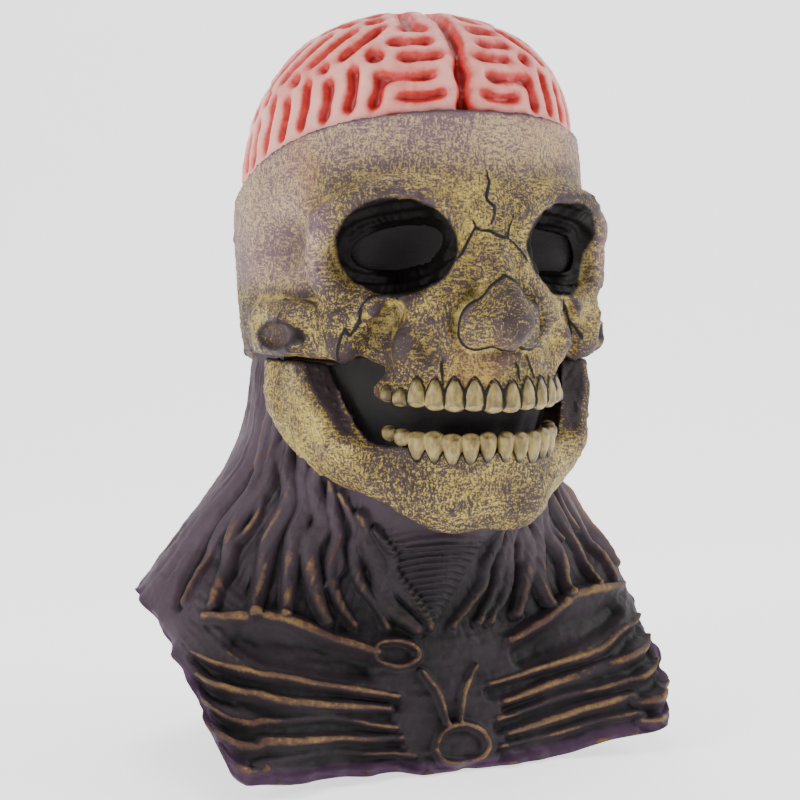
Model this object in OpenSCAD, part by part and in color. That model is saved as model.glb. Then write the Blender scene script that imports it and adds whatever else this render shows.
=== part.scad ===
// Full-head latex halloween mask: a painted skull with an open brain case, a lower jaw that
// swings on two hidden pins, and a neck sleeve that spreads into a torn chest bib.
// The mask stands on its bib, faces -Y, and its right side is at -X. Millimetres.

/* [Skull] */
// Outside width of the skull shell at the temples
skull_w = 186; // [182:1:190]
// Outside depth of the skull shell, forehead to nape
skull_d = 206; // [202:1:210]
// Height of the brain-case rim above the middle of the head
rim_h = 304; // [302:1:308]
// How far the rim rises from there to the forehead, and falls to the back of the head
rim_rise = 34; // [30:1:36]
// Height of the brain cap's crown
crown_h = 395; // [385:1:400]

/* [Latex and foam] */
// Wall of every latex casting
wall = 3; // [2.5:0.25:3.25]
// Thickness of the foam pads
pad_t = 8; // [6:0.5:9]

/* [Jaw] */
// Height of the hinge line
hinge_z = 223; // [222:0.5:224]
// Hinge line, forward of the middle of the head
hinge_y = -4; // [-5:0.5:-3]
// Radius of the hinge pin's shank
pin_r = 3; // [2.5:0.1:3.5]
// Running clearance of the pin in the jaw tab and washer, on the radius
pin_play = 0.06; // [0.04:0.01:0.1]

/* [Bib] */
// Width of the bib from shoulder tip to shoulder tip
bib_w = 280; // [270:2:290]

/* [Hidden] */

head_y = 16;        // the middle of the head, behind the middle of the whole mask
eye_a = 28;         // angle and height of the middle of each eye socket, and the way the eye hole faces
eye_z = 266;
eye_turn = 27;
socket_depth = 17;
teeth = 7;          // on each side of each jaw
gap = 0.4;          // glue line between pieces that lie on each other
skin_gap = 0.5;     // space between a pad and the curved wall behind it
bone = "khaki";
flesh = "salmon";
dark = "dimgray";
foam = "gainsboro";

// ---------- curves and skins ----------

// Catmull-Rom value between b and c
function blend4(a, b, c, d, t) =
    0.5 * (2 * b + (c - a) * t + (2 * a - 5 * b + 4 * c - d) * t * t + (3 * b - a - 3 * c + d) * t * t * t);

// Points along an open curve through the given points
function curve(p, steps) = let (last = len(p) - 1) concat([for (i = [0:last - 1], k = [0:steps - 1])
    blend4(p[max(i - 1, 0)], p[i], p[i + 1], p[min(i + 2, last)], k / steps)], [p[last]]);

// Points along a closed curve through the given points
function ring(p, steps) = let (n = len(p)) [for (i = [0:n - 1], k = [0:steps - 1])
    blend4(p[(i + n - 1) % n], p[i], p[(i + 1) % n], p[(i + 2) % n], k / steps)];

// The right half of a row of points, from the middle of the face to the middle of the back, and its mirror
function both_sides(half) = let (n = len(half))
    concat(half, [for (i = [n - 2:-1:1]) [-half[i][0], half[i][1], half[i][2]]]);

// One column of a grid given as rows
function column(rows, i) = [for (r = rows) r[i]];

function unit(v) = v / max(norm(v), 1e-9);

// A grid of columns pushed inwards by t, along the normals of the surface
function inset(grid, t, closed) = let (n = len(grid), m = len(grid[0])) [for (i = [0:n - 1])
    let (a = closed ? (i + n - 1) % n : max(i - 1, 0), b = closed ? (i + 1) % n : min(i + 1, n - 1))
    [for (k = [0:m - 1])
        grid[i][k] + t * unit(cross(grid[b][k] - grid[a][k],
            grid[i][min(k + 1, m - 1)] - grid[i][max(k - 1, 0)]))]];

// A skin of thickness t behind a grid of columns, closed on itself or with two open ends
module skin(grid, t, closed) {
    inner = inset(grid, t, closed);
    n = len(grid);
    h = len(grid[0]);
    m = 2 * h;
    points = [for (i = [0:n - 1]) each concat(grid[i], [for (k = [h - 1:-1:0]) inner[i][k]])];
    sides = [for (i = [0:closed ? n - 1 : n - 2], k = [0:m - 1])
        let (a = i * m, b = (i + 1) % n * m, l = (k + 1) % m)
        each [[a + k, b + k, b + l], [a + k, b + l, a + l]]];
    last = (n - 1) * m;
    ends = closed ? [] : [for (k = [0:h - 2]) let (l = m - 1 - k) each [[k, k + 1, l - 1], [k, l - 1, l],
        [last + k, last + l - 1, last + k + 1], [last + k, last + l, last + l - 1]]];
    polyhedron(points, concat(sides, ends));
}

module on_both_sides() {
    children();
    mirror([1, 0, 0]) children();
}

// ---------- the head's envelope ----------

// A rounded swelling of height h, centred on angle a0 and height z0
function swell(a, z, a0, z0, da, dz, h) = h * exp(-pow((a - a0) / da, 2) - pow((z - z0) / dz, 2));

// Height of the brain-case rim over a point at y: steepest over the ears
function rim_z(y) = let (u = exp(2 * (y - head_y) / 85)) rim_h - rim_rise * (u - 1) / (u + 1);

// Half axes of the bare cranium at height z
function half_w(z) = skull_w / 2 - 0.0016 * pow(max(285 - z, 0), 2);
function half_d(z) = skull_d / 2 - 0.0018 * pow(max(250 - z, 0), 2);

// Eye socket: a hollow with a flat floor and steep sides
function socket(a, z) = socket_depth * exp(-pow(pow((a - eye_a) / 17, 2) + pow((z - eye_z) / 24, 2), 2));

// Cheek arch: a low ridge that runs back from the cheekbone to the jaw hinge
function arch(a, z) = 5 * exp(-pow((z - 233) / 6, 2) - pow((a - 78) / 27, 4));

// Outside of the skull at angle a from the face's middle, positive towards the right, drawn in by t
function head_point(a, z, t) = let (b = abs(a),
    out = swell(b, z, 0, 222, 9, 15, 31) + swell(b, z, 0, 202, 26, 16, 13) + swell(b, z, 26, 293, 22, 9, 6)
        + swell(b, z, 46, 226, 15, 12, 10) + swell(b, z, 84, 222, 30, 16, 5.6) - swell(b, z, 64, 262, 12, 20, 5)
        - swell(b, z, 40, 200, 9, 11, 6) + arch(b, z) - socket(b, z))
    [-(half_w(z) - t + out) * sin(a), head_y - (half_d(z) - t + out) * cos(a), z];

// Lower edge of the skull shell, right half: angle from the middle of the face, and height
skull_edge = [
    [0, 200], [15, 201], [28, 203], [38, 211], [50, 216], [66, 216], [90, 214], [130, 208], [180, 204]
];
function edge_z(a) = lookup(abs(a), skull_edge);

// Grid of the skull's outside, drawn in by t, between two angles and two heights
function head_grid(a0, a1, steps, rows, t, low, high) = [for (i = [0:steps])
    let (a = a0 + (a1 - a0) * i / steps)
    [for (k = [0:rows]) head_point(a, low + (high - low) * k / rows, t)]];

// ---------- skull side ----------

// Flat oval across the line of sight of the right eye, set back by depth from the socket's floor
module oval(w, h, depth, t) {
    translate(head_point(eye_a, eye_z, depth))
        rotate([0, 0, -eye_turn]) rotate([90, 0, 0]) scale([w / 2, h / 2, 1])
        cylinder(r = 1, h = t, center = true, $fn = 40);
}

// Angle of column i: columns are closer together on the face than on the back of the head
function column_angle(i, steps) = let (u = 2 * i / steps, v = u > 1 ? u - 2 : u) 90 * (v + v * v * v);

module skull_shell() {
    steps = 84;
    rows = 22;
    columns = [for (i = [0:steps - 1]) let (a = column_angle(i, steps),
        low = edge_z(a), high = rim_z(head_y - skull_d / 2 * cos(a)))
        [for (k = [0:rows]) head_point(a, low + (high - low) * k / rows, 0)]];
    color(bone) difference() {
        skin(columns, wall, true);
        on_both_sides() oval(44, 26, 0, 30);
    }
}

module brain_cap() {
    steps = 60;
    rise = 14;
    overlap = 8;        // how far the cap's flange goes down behind the rim
    split = 5;          // depth of the groove between the two halves of the brain
    base_w = skull_w / 2 - wall - gap;
    base_d = skull_d / 2 - wall - gap;
    columns = [for (i = [0:steps - 1])
        let (a = 360 * i / steps, foot = rim_z(head_y - base_d * cos(a)) - overlap)
        [for (k = [0:rise]) let (t = 88 * k / rise,
            top = crown_h - split * exp(-pow(sin(a) * cos(t) * 14, 2)) * sin(t))
            [-base_w * cos(t) * sin(a), head_y - base_d * cos(t) * cos(a), foot + (top - foot) * sin(t)]]];
    color(flesh) union() {
        skin(columns, wall, true);
        translate([0, head_y, crown_h - split - wall]) cylinder(r = 6.5, h = wall, $fn = 40);
    }
}

// One tooth: a rounded crown of width w, hanging or standing by h from the gum at p, turned by a
module tooth(p, a, w, h) {
    translate(p) rotate([0, 0, a]) hull() {
        translate([0, 0.6, h * 0.15]) scale([w * 0.34, 2.6, 2]) sphere(1, $fn = 10);
        translate([0, 0, -h * 0.8]) scale([w * 0.46, 2.6, 1.8]) sphere(1, $fn = 10);
    }
}

// Turn and width of tooth i from the middle, and its place on an arch of half axes w and d
function tooth_turn(i) = 6 + 11.5 * i;
function arch_point(a, w, d, y, z) = [-w * sin(a), y - d * cos(a), z];

module upper_teeth() {
    color(bone) on_both_sides() for (i = [0:teeth - 1]) {
        a = tooth_turn(i);
        tooth(arch_point(a, 46, 40, -60, 199 + 0.16 * i * i), -a, 8.6 - 0.25 * i, 12 - 0.8 * i);
    }
}

module eye_mesh_right() {
    color(dark) oval(54, 36, wall + gap + 0.6, 1);
}

module eye_mesh_left() {
    mirror([1, 0, 0]) eye_mesh_right();
}

// ---------- neck and bib ----------

// Control rows of the sleeve, right half, each from the throat to the spine: the top one lies on the
// inside of the skull, the bottom one is the hem
function shoulder(x) = x * bib_w / 280;
function in_skull(z) = [for (a = [106, 126, 152, 180]) head_point(a, z, wall + 1.7)];
sleeve_rows = [for (row = [
    concat([[0, -37, 132], [-26, -34, 134], [-50, -16, 172], [-69, 8, 208]], in_skull(220)),
    concat([[0, -36, 118], [-28, -31, 120], [-54, -14, 150], [-71, 6, 182]], in_skull(206)),
    [[0, -33, 100], [-32, -27, 102], [-60, -14, 124], [-80, 6, 150],
        [-86, 40, 160], [-72, 82, 164], [-39, 102, 162], [0, 109, 160]],
    [[0, -32, 76], [-42, -26, 78], [-80, -16, 90], [-106, 10, 112],
        [-116, 50, 118], [-86, 90, 116], [-42, 106, 110], [0, 111, 108]],
    [[0, -42, 34], [-52, -40, 40], [-98, -36, 52], [-126, 0, 80],
        [-131, 54, 98], [-92, 98, 72], [-46, 111, 52], [0, 115, 48]],
    [[0, -50, 0.7], [-60, -50, 2], [-120, -60, 12], [-133, -4, 56],
        [-138, 58, 86], [-92, 102, 34], [-46, 114, 5], [0, 118, 0.5]]
]) both_sides([for (p = row) [shoulder(p[0]), p[1], p[2]]])];

module neck_bib() {
    around = 5;
    down = 4;
    rings = [for (r = sleeve_rows) ring(r, around)];
    columns = [for (i = [0:len(rings[0]) - 1]) let (c = curve(column(rings, i), down))
        [for (k = [len(c) - 1:-1:0]) c[k]]];
    color(dark) skin(columns, wall, true);
}

// ---------- mouth ----------

// Edges of the cloth behind the teeth, right half: the lower one hangs free, the upper one is glued
// inside the upper jaw as far as the cheekbone, then passes inside the ramus
lining_low = [[0, -72.5, 166], [-24, -66, 166], [-42, -48, 166], [-54, -32, 166], [-62, -12, 166]];
lining_high = [[0, -94, 212], [-31, -78, 212], [-54, -55, 213], [-64, -36, 208], [-66, -14, 202]];
lining_t = 1;

module mouth_lining() {
    low = curve(lining_low, 5);
    high = curve(lining_high, 5);
    n = len(low) - 1;
    rows = 4;
    half = [for (i = [0:n]) [for (k = [0:rows]) low[i] + (high[i] - low[i]) * k / rows]];
    whole = concat([for (i = [n:-1:1]) [for (p = half[i]) [-p[0], p[1], p[2]]]], half);
    color(dark) skin(whole, lining_t, false);
}

// ---------- foam ----------

// Curved pad glued inside the skull between two angles and two heights
module wall_pad(a0, a1, low, high) {
    color(foam) skin(head_grid(a0, a1, 10, 4, wall + skin_gap, low, high), pad_t, false);
}

module forehead_pad() {
    wall_pad(-34, 34, 296, 318);
}

module nape_pad() {
    wall_pad(150, 210, 226, 258);
}

module temple_pad_right() {
    wall_pad(80, 112, 242, 270);
}

module temple_pad_left() {
    mirror([1, 0, 0]) temple_pad_right();
}

module crown_pad() {
    drop = 9.5;         // from the inside of the crown to the flat pad's top
    color(foam) translate([0, head_y, crown_h - wall - drop - pad_t]) cylinder(r = 26, h = pad_t, $fn = 48);
}

// ---------- jaw hinge ----------

plate_x = 86.2;         // outer face of the plate, inside the skull's wall
plate_t = 2.4;
plate_w = 18;
plate_h = 20;
washer_r = 7;
tab_x = 79;             // outer face of the jaw's tab
tab_t = 2.5;
tab_w = 14;
tab_h = 40;             // from the hinge line down to the tab's end in the ramus
head_t = 2;             // pin head
head_r = 5.5;

// A round bar along X on the hinge line, from x0 inwards, on the right side
module hinge_bar(x0, length, r) {
    translate([-x0, hinge_y, hinge_z]) rotate([0, 90, 0]) cylinder(r = r, h = length, $fn = 48);
}

module hinge_plate_right() {
    color("silver") difference() {
        translate([-plate_x, hinge_y - plate_w / 2, hinge_z - plate_w / 2]) cube([plate_t, plate_w, plate_h]);
        hinge_bar(plate_x + 1, plate_t + 2, pin_r);
    }
}

module hinge_washer_right() {
    color("white") difference() {
        hinge_bar(plate_x - plate_t - 0.1, plate_x - plate_t - tab_x - 0.2, washer_r);
        hinge_bar(plate_x, plate_x - tab_x + 1, pin_r + pin_play);
    }
}

module hinge_pin_right() {
    color("silver") union() {
        hinge_bar(plate_x, plate_x - tab_x + tab_t + 0.2, pin_r);
        hinge_bar(tab_x - tab_t - 0.15, head_t, head_r);
    }
}

module jaw_tab_right() {
    color("silver") difference() {
        union() {
            translate([-tab_x, hinge_y - tab_w / 2, hinge_z - tab_h]) cube([tab_t, tab_w, tab_h]);
            hinge_bar(tab_x, tab_t, tab_w / 2);
        }
        hinge_bar(tab_x + 1, tab_t + 2, pin_r + pin_play);
    }
}

module hinge_plate_left() {
    mirror([1, 0, 0]) hinge_plate_right();
}

module hinge_washer_left() {
    mirror([1, 0, 0]) hinge_washer_right();
}

module hinge_pin_left() {
    mirror([1, 0, 0]) hinge_pin_right();
}

module jaw_tab_left() {
    mirror([1, 0, 0]) jaw_tab_right();
}

// ---------- jaw ----------

// Stations round the jaw, right half, from the chin to the back of the ramus: plan place, low edge, top edge
jaw_rows = [
    [0, -90, 128, 168], [-20, -87, 131, 168], [-42, -76, 141, 169], [-59, -60, 151, 173],
    [-69, -46, 156, 194], [-75, -30, 161, 207], [-79, -13, 169, 210], [-81, 3, 184, 211]
];

module jaw_shell() {
    half = curve(jaw_rows, 4);
    n = len(half) - 1;
    stations = concat([for (i = [n:-1:1]) [-half[i][0], half[i][1], half[i][2], half[i][3]]], half);
    rise = 6;
    // the band bulges by belly at mid height and leans in towards its low edge
    band = [for (s = stations) [for (k = [0:rise]) let (t = k / rise, belly = 3 * sin(180 * t),
        lean = 8 * (1 - t) * (1 - t), out = unit([s[0], s[1] + 10, 0]))
        [s[0], s[1], s[2] + (s[3] - s[2]) * t] + out * (belly - lean)]];
    color(bone) union() {
        skin(band, wall, false);
        chin_floor();
    }
}

// The skin under the chin, turned back towards the throat
module chin_floor() {
    translate([0, 0, 131]) linear_extrude(wall)
        polygon([[-20, -74], [0, -77.5], [20, -74], [24, -66], [0, -62], [-24, -66]]);
}

module lower_teeth() {
    color(bone) on_both_sides() for (i = [0:teeth - 1]) {
        a = tooth_turn(i);
        mirror([0, 0, 1])
            tooth(arch_point(a, 45, 37, -56, -168 - 0.1 * i * i), -a, 7.4 + 0.1 * i, 10 - 0.5 * i);
    }
}

module chin_pad() {
    color(foam) translate([0, 0, 140]) linear_extrude(16)
        polygon([[-34, -60], [-20, -70], [0, -73.5], [20, -70], [34, -60], [28, -56], [0, -64], [-28, -56]]);
}

skull_shell();
brain_cap();
upper_teeth();
eye_mesh_right();
eye_mesh_left();
neck_bib();
mouth_lining();
forehead_pad();
crown_pad();
nape_pad();
temple_pad_right();
temple_pad_left();
hinge_plate_right();
hinge_plate_left();
hinge_pin_right();
hinge_pin_left();
hinge_washer_right();
hinge_washer_left();
jaw_shell();
lower_teeth();
jaw_tab_right();
jaw_tab_left();
chin_pad();
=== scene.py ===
"""Looks of a full-head latex skull mask with an open brain case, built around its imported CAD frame.

Lengths in the modelling code are millimetres in the frame's axes (+Z up, the face looks along -Y, the mask's
own right side at -X). They become metres when a mesh is made.
"""

import itertools
import math

import bpy
import numpy as np
import openvdb
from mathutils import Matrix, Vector


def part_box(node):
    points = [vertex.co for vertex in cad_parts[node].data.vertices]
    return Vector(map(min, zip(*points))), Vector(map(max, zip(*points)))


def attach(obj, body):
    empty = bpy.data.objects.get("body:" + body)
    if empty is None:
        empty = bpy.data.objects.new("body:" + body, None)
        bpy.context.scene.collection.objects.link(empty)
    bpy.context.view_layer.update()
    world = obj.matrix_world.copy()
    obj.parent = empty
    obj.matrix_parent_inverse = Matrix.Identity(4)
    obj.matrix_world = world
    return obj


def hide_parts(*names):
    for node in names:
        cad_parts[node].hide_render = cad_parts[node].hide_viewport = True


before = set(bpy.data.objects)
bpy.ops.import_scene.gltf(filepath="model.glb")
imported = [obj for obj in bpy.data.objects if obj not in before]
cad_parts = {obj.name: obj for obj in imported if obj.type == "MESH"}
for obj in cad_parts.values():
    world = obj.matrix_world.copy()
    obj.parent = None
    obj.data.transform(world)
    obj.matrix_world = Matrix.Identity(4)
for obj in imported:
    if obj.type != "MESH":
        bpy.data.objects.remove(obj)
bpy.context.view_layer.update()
MM = 0.001



def new_object(name, data):
    made = bpy.data.objects.new(name, data)
    bpy.context.scene.collection.objects.link(made)
    return made


def shade_smooth(mesh):
    mesh.polygons.foreach_set("use_smooth", np.ones(len(mesh.polygons), bool))


# ---------------------------------------------------------------- camera, floor, light

HEAD_Y = 16.0           # middle of the head
CAMERA_AZIMUTH = math.radians(-23)
CAMERA_DISTANCE = 0.893
CAMERA_HEIGHT = 0.241
CAMERA_TARGET = Vector((-0.004, HEAD_Y * MM, 0.187))
LENS = 74.56
LIGHTS = {              # place in metres, power in watts
    "left_box": ((-1.6, -0.4, 1.0), 23),
    "right_box": ((1.4, -0.7, 0.95), 22),
    "top_box": ((-0.1, 0.1, 1.7), 12),
}
LIGHT_SIZE = 0.8
SKY_COLOUR, SKY_STRENGTH = (0.95, 0.97, 1.0, 1), 0.26
PAPER_GLOW = 1.25


def add_camera():
    data = bpy.data.cameras.new("camera")
    data.lens = LENS
    camera = new_object("camera", data)
    camera.location = (math.sin(CAMERA_AZIMUTH) * CAMERA_DISTANCE,
                       HEAD_Y * MM - math.cos(CAMERA_AZIMUTH) * CAMERA_DISTANCE, CAMERA_HEIGHT)
    camera.rotation_euler = (CAMERA_TARGET - camera.location).to_track_quat("-Z", "Y").to_euler()
    bpy.context.scene.camera = camera


def add_area_light(name, place, power):
    data = bpy.data.lights.new(name, "AREA")
    data.size = LIGHT_SIZE
    data.energy = power
    light = new_object(name, data)
    light.location = place
    light.rotation_euler = (Vector((0, 0, 0.2)) - light.location).to_track_quat("-Z", "Y").to_euler()


def add_studio():
    world = bpy.data.worlds.new("studio")
    bpy.context.scene.world = world
    world.use_nodes = True
    sky = world.node_tree.nodes["Background"].inputs
    sky["Color"].default_value = SKY_COLOUR
    sky["Strength"].default_value = SKY_STRENGTH
    for name, (place, power) in LIGHTS.items():
        add_area_light(name, place, power)
    add_sweep()


def add_sweep():
    """White paper that runs along the floor and curves up behind the mask, bright enough to read as white."""
    turn = Vector((math.sin(CAMERA_AZIMUTH), -math.cos(CAMERA_AZIMUTH), 0))
    side = Vector((-turn.y, turn.x, 0))
    reach, bend, top = 3.0, 1.2, 3.2
    profile = [(-reach, 0.0), (bend / 2, 0.0)]
    profile += [(bend / 2 + bend * math.sin(a), bend - bend * math.cos(a))
                for a in np.linspace(0.15, math.pi / 2, 9)]
    profile.append((bend * 1.5, top))
    points = [-turn * back + side * across + Vector((0, 0, up))
              for back, up in profile for across in (-reach, reach)]
    mesh = bpy.data.meshes.new("floor")
    mesh.from_pydata(points, [], [(2 * i, 2 * i + 1, 2 * i + 3, 2 * i + 2) for i in range(len(profile) - 1)])
    shade_smooth(mesh)
    floor = new_object("floor", mesh)
    paint = bpy.data.materials.new("floor")
    paint.use_nodes = True
    shader = paint.node_tree.nodes["Principled BSDF"]
    shader.inputs["Base Color"].default_value = (0.9, 0.9, 0.9, 1)
    shader.inputs["Roughness"].default_value = 0.9
    shader.inputs["Emission Color"].default_value = (1, 1, 1, 1)
    shader.inputs["Emission Strength"].default_value = PAPER_GLOW
    mesh.materials.append(paint)


# ---------------------------------------------------------------- numbers

def smooth_step(low, high, value):
    t = np.clip((value - low) / (high - low), 0, 1)
    return t * t * (3 - 2 * t)


def soft_min(a, b, k):
    h = np.clip(0.5 + 0.5 * (b - a) / k, 0, 1)
    return b + (a - b) * h - k * h * (1 - h)


def soft_max(a, b, k):
    return -soft_min(-a, -b, k)


def corners(cell, f):
    """The eight corners of each point's cell, and each corner's share of a value inside the cell."""
    for corner in itertools.product((0, 1), repeat=3):
        a, b, c = (f[:, axis] if at else 1 - f[:, axis] for axis, at in enumerate(corner))
        yield cell + corner, a * b * c


def lattice_noise(points, size, seed):
    """Smooth random values, about -1 to 1, that change over a distance of size."""
    n = 32
    table = np.random.default_rng(seed).uniform(-1, 1, (n, n, n)).astype(np.float32)
    p = np.asarray(points, np.float32) / size
    cell = np.floor(p).astype(int)
    f = p - cell
    f = f * f * (3 - 2 * f)
    total = np.zeros(len(p), np.float32)
    for corner, share in corners(cell, f):
        total += share * table[tuple((corner % n).T)]
    return total


def fractal(points, size, seed, octaves=3):
    return sum(lattice_noise(points, size / 2 ** i, seed + i) / 2 ** i for i in range(octaves))


def blend(a, b, c, d, t):
    """The place at t, from 0 to 1, between b and c on a Catmull-Rom curve."""
    return 0.5 * (2 * b + (c - a) * t + (2 * a - 5 * b + 4 * c - d) * t * t
                  + (3 * b - a - 3 * c + d) * t ** 3)


def curve_points(knots, steps):
    """Points of a Catmull-Rom curve through the knots."""
    k = np.asarray(knots, float)
    k = np.vstack([2 * k[0] - k[1], k, 2 * k[-1] - k[-2]])
    spans = zip(k[:-3], k[1:-2], k[2:-1], k[3:])
    return np.array([blend(*span, t) for span in spans for t in np.arange(steps) / steps] + [k[-2]])


def distance_to_path(points, path):
    """Distance of each point to a polyline, and how far along it, from 0 to 1, the nearest place lies."""
    points = np.asarray(points, np.float32)
    path = np.asarray(path, np.float32)
    best = np.full(len(points), 1e9, np.float32)
    along = np.zeros(len(points), np.float32)
    n = len(path) - 1
    for i, (a, b) in enumerate(zip(path[:-1], path[1:])):
        ab = b - a
        t = np.clip((points - a) @ ab / max(ab @ ab, 1e-9), 0, 1)
        d = np.linalg.norm(points - a - t[:, None] * ab, axis=1)
        closer = d < best
        best[closer] = d[closer]
        along[closer] = (i + t[closer]) / n
    return best, along


# ---------------------------------------------------------------- clay: forms as distance fields

def spread(values, rounds):
    """Values of a grid after rounds of averaging with the cells beside them."""
    for _ in range(rounds):
        for axis in range(3):
            ahead, behind = np.roll(values, 1, axis), np.roll(values, -1, axis)
            values = 0.5 * values + 0.25 * (ahead + behind)
    return values


class Clay:
    """A distance field over a box, negative inside. The even forms are worked for x <= 0, then mirrored."""

    def __init__(self, low, high, step):
        self.step = step
        self.low = np.array(low, np.float32)
        counts = np.round((np.array(high) - low) / step).astype(int) + 1
        self.axes = [self.low[i] + step * np.arange(counts[i], dtype=np.float32) for i in range(3)]
        self.d = np.full(counts, 40.0, np.float32)

    def grid(self, low=None, high=None):
        cuts = [slice(None)] * 3
        if low is not None:
            cuts = [slice(*np.searchsorted(axis, [a, b])) for axis, a, b in zip(self.axes, low, high)]
        x, y, z = (axis[c] for axis, c in zip(self.axes, cuts))
        return tuple(cuts), x[:, None, None], y[None, :, None], z[None, None, :]

    def add(self, shape, k, cut=False):
        reach = k + 6
        cuts, x, y, z = self.grid(shape.low - reach, shape.high + reach)
        d = shape.distance(x, y, z).astype(np.float32)
        self.d[cuts] = soft_max(self.d[cuts], -d, k) if cut else soft_min(self.d[cuts], d, k)

    def cut(self, shape, k):
        self.add(shape, k, cut=True)

    def mirrored(self):
        """The whole form, from a half whose last x is 0."""
        whole = Clay([0, 0, 0], [0, 0, 0], self.step)
        whole.low = self.low.copy()
        n = len(self.axes[0])
        whole.axes = [self.low[0] + self.step * np.arange(2 * n - 1, dtype=np.float32), *self.axes[1:]]
        whole.d = np.concatenate([self.d, self.d[-2::-1]])
        return whole

    def sample(self, points, field=None):
        """The field at points, between its samples."""
        field = self.d if field is None else field
        p = (np.asarray(points, np.float32) - self.low) / self.step
        p = np.clip(p, 0, np.array(field.shape) - 1.001)
        cell = p.astype(int)
        f = p - cell
        total = np.zeros(len(p), np.float32)
        for corner, share in corners(cell, f):
            total += share * field[tuple(corner.T)]
        return total

    def hollow(self, points, rounds):
        """How far each point lies below its wider surroundings, in millimetres; less than 0 on a bulge."""
        skip, margin = 3, 5
        coarse = np.pad(self.d[::skip, ::skip, ::skip], margin, mode="edge")
        blurred = spread(coarse, rounds) - coarse
        blurred = blurred[margin:-margin, margin:-margin, margin:-margin]
        wide = Clay([0, 0, 0], [0, 0, 0], self.step * skip)
        wide.low = self.low
        return -wide.sample(points, blurred)

    def surface(self):
        """Vertices and quads where the field is 0."""
        grid = openvdb.FloatGrid(background=9.0)
        grid.copyFromArray(np.ascontiguousarray(self.d))
        points, quads = grid.convertToQuads(isovalue=0.0)
        return np.asarray(points, float) * self.step + self.low, np.asarray(quads)[:, ::-1]


class Ball:
    """An ellipsoid, turned about Z by turn degrees."""

    def __init__(self, centre, radii, turn=0.0):
        self.c = np.array(centre, float)
        self.r = np.array(radii, float) * np.ones(3)
        self.turn = math.radians(turn)
        reach = self.r if not turn else np.array([self.r[:2].max(), self.r[:2].max(), self.r[2]])
        self.low, self.high = self.c - reach, self.c + reach

    def distance(self, x, y, z):
        x, y, z = x - self.c[0], y - self.c[1], z - self.c[2]
        if self.turn:
            x, y = (x * math.cos(self.turn) + y * math.sin(self.turn),
                    -x * math.sin(self.turn) + y * math.cos(self.turn))
        a, b, c = self.r
        k0 = np.sqrt((x / a) ** 2 + (y / b) ** 2 + (z / c) ** 2)
        k1 = np.sqrt((x / a ** 2) ** 2 + (y / b ** 2) ** 2 + (z / c ** 2) ** 2) + 1e-6
        return k0 * (k0 - 1) / k1


class Strand:
    """A round bar through the given points, with a radius at each."""

    def __init__(self, points, radii, steps=1):
        both = curve_points(np.column_stack([np.array(points, float), radii]), steps)
        p, r = both[:, :3], both[:, 3]
        self.p, self.r = p, r
        self.low, self.high = (p - r[:, None]).min(0), (p + r[:, None]).max(0)

    def distance(self, x, y, z):
        best = None
        for a, b, ra, rb in zip(self.p[:-1], self.p[1:], self.r[:-1], self.r[1:]):
            ab = b - a
            px, py, pz = x - a[0], y - a[1], z - a[2]
            t = np.clip((px * ab[0] + py * ab[1] + pz * ab[2]) / max(ab @ ab, 1e-9), 0, 1)
            d = np.sqrt((px - t * ab[0]) ** 2 + (py - t * ab[1]) ** 2 + (pz - t * ab[2]) ** 2)
            d = d - (ra + (rb - ra) * t)
            best = d if best is None else np.minimum(best, d)
        return best


# ---------------------------------------------------------------- meshes

def add_mesh(name, points, faces, body, material, nodes, layers=None):
    """A smooth piece from points in millimetres, with one float layer per painted mask."""
    points = np.asarray(points, np.float32) * MM
    mesh = bpy.data.meshes.new(name)
    faces = np.asarray(faces)
    sides = faces.shape[1]
    mesh.vertices.add(len(points))
    mesh.vertices.foreach_set("co", points.ravel())
    mesh.loops.add(faces.size)
    mesh.loops.foreach_set("vertex_index", faces.ravel().astype(np.int32))
    mesh.polygons.add(len(faces))
    mesh.polygons.foreach_set("loop_start", np.arange(0, faces.size, sides, dtype=np.int32))
    mesh.update(calc_edges=True)
    mesh.validate()
    shade_smooth(mesh)
    for layer, values in (layers or {}).items():
        attribute = mesh.attributes.new(layer, "FLOAT", "POINT")
        attribute.data.foreach_set("value", np.asarray(values, np.float32))
    piece = new_object(name, mesh)
    mesh.materials.append(material)
    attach(piece, body)
    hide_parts(*nodes)
    return piece


def edges_of(faces):
    pairs = np.concatenate([np.column_stack([faces[:, i], faces[:, (i + 1) % faces.shape[1]]])
                            for i in range(faces.shape[1])])
    return np.unique(np.sort(pairs, axis=1), axis=0)


def smoothed(values, edges, rounds):
    """Values (one row per vertex) after rounds of averaging with their neighbours."""
    values = np.array(values, float)
    flat = values.reshape(len(values), -1)
    count = np.bincount(edges.ravel(), minlength=len(flat))[:, None] + 1.0
    for _ in range(rounds):
        total = flat.copy()
        for c in range(flat.shape[1]):
            total[:, c] += np.bincount(edges[:, 0], flat[edges[:, 1], c], len(flat))
            total[:, c] += np.bincount(edges[:, 1], flat[edges[:, 0], c], len(flat))
        flat = total / count
    return flat.reshape(values.shape)


def normals_of(points, faces):
    points = np.asarray(points, float)
    a, b, c = (points[faces[:, i]] for i in range(3))
    d = points[faces[:, 3]] if faces.shape[1] == 4 else a
    face = np.cross(c - a, d - b) if faces.shape[1] == 4 else np.cross(b - a, c - a)
    normal = np.zeros_like(points)
    for i in range(faces.shape[1]):
        for axis in range(3):
            normal[:, axis] += np.bincount(faces[:, i], face[:, axis], len(points))
    return normal / np.maximum(np.linalg.norm(normal, axis=1), 1e-9)[:, None]


def relief_of(points, faces, edges, rounds):
    """How far each vertex stands out from its smoothed surroundings, in millimetres."""
    return ((points - smoothed(points, edges, rounds)) * normals_of(points, faces)).sum(1)


def cast_surface(clay, rounds):
    """Points, faces and edges of the clay's surface, after rounds of smoothing."""
    points, faces = clay.surface()
    edges = edges_of(faces)
    return smoothed(points, edges, rounds), faces, edges


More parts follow.
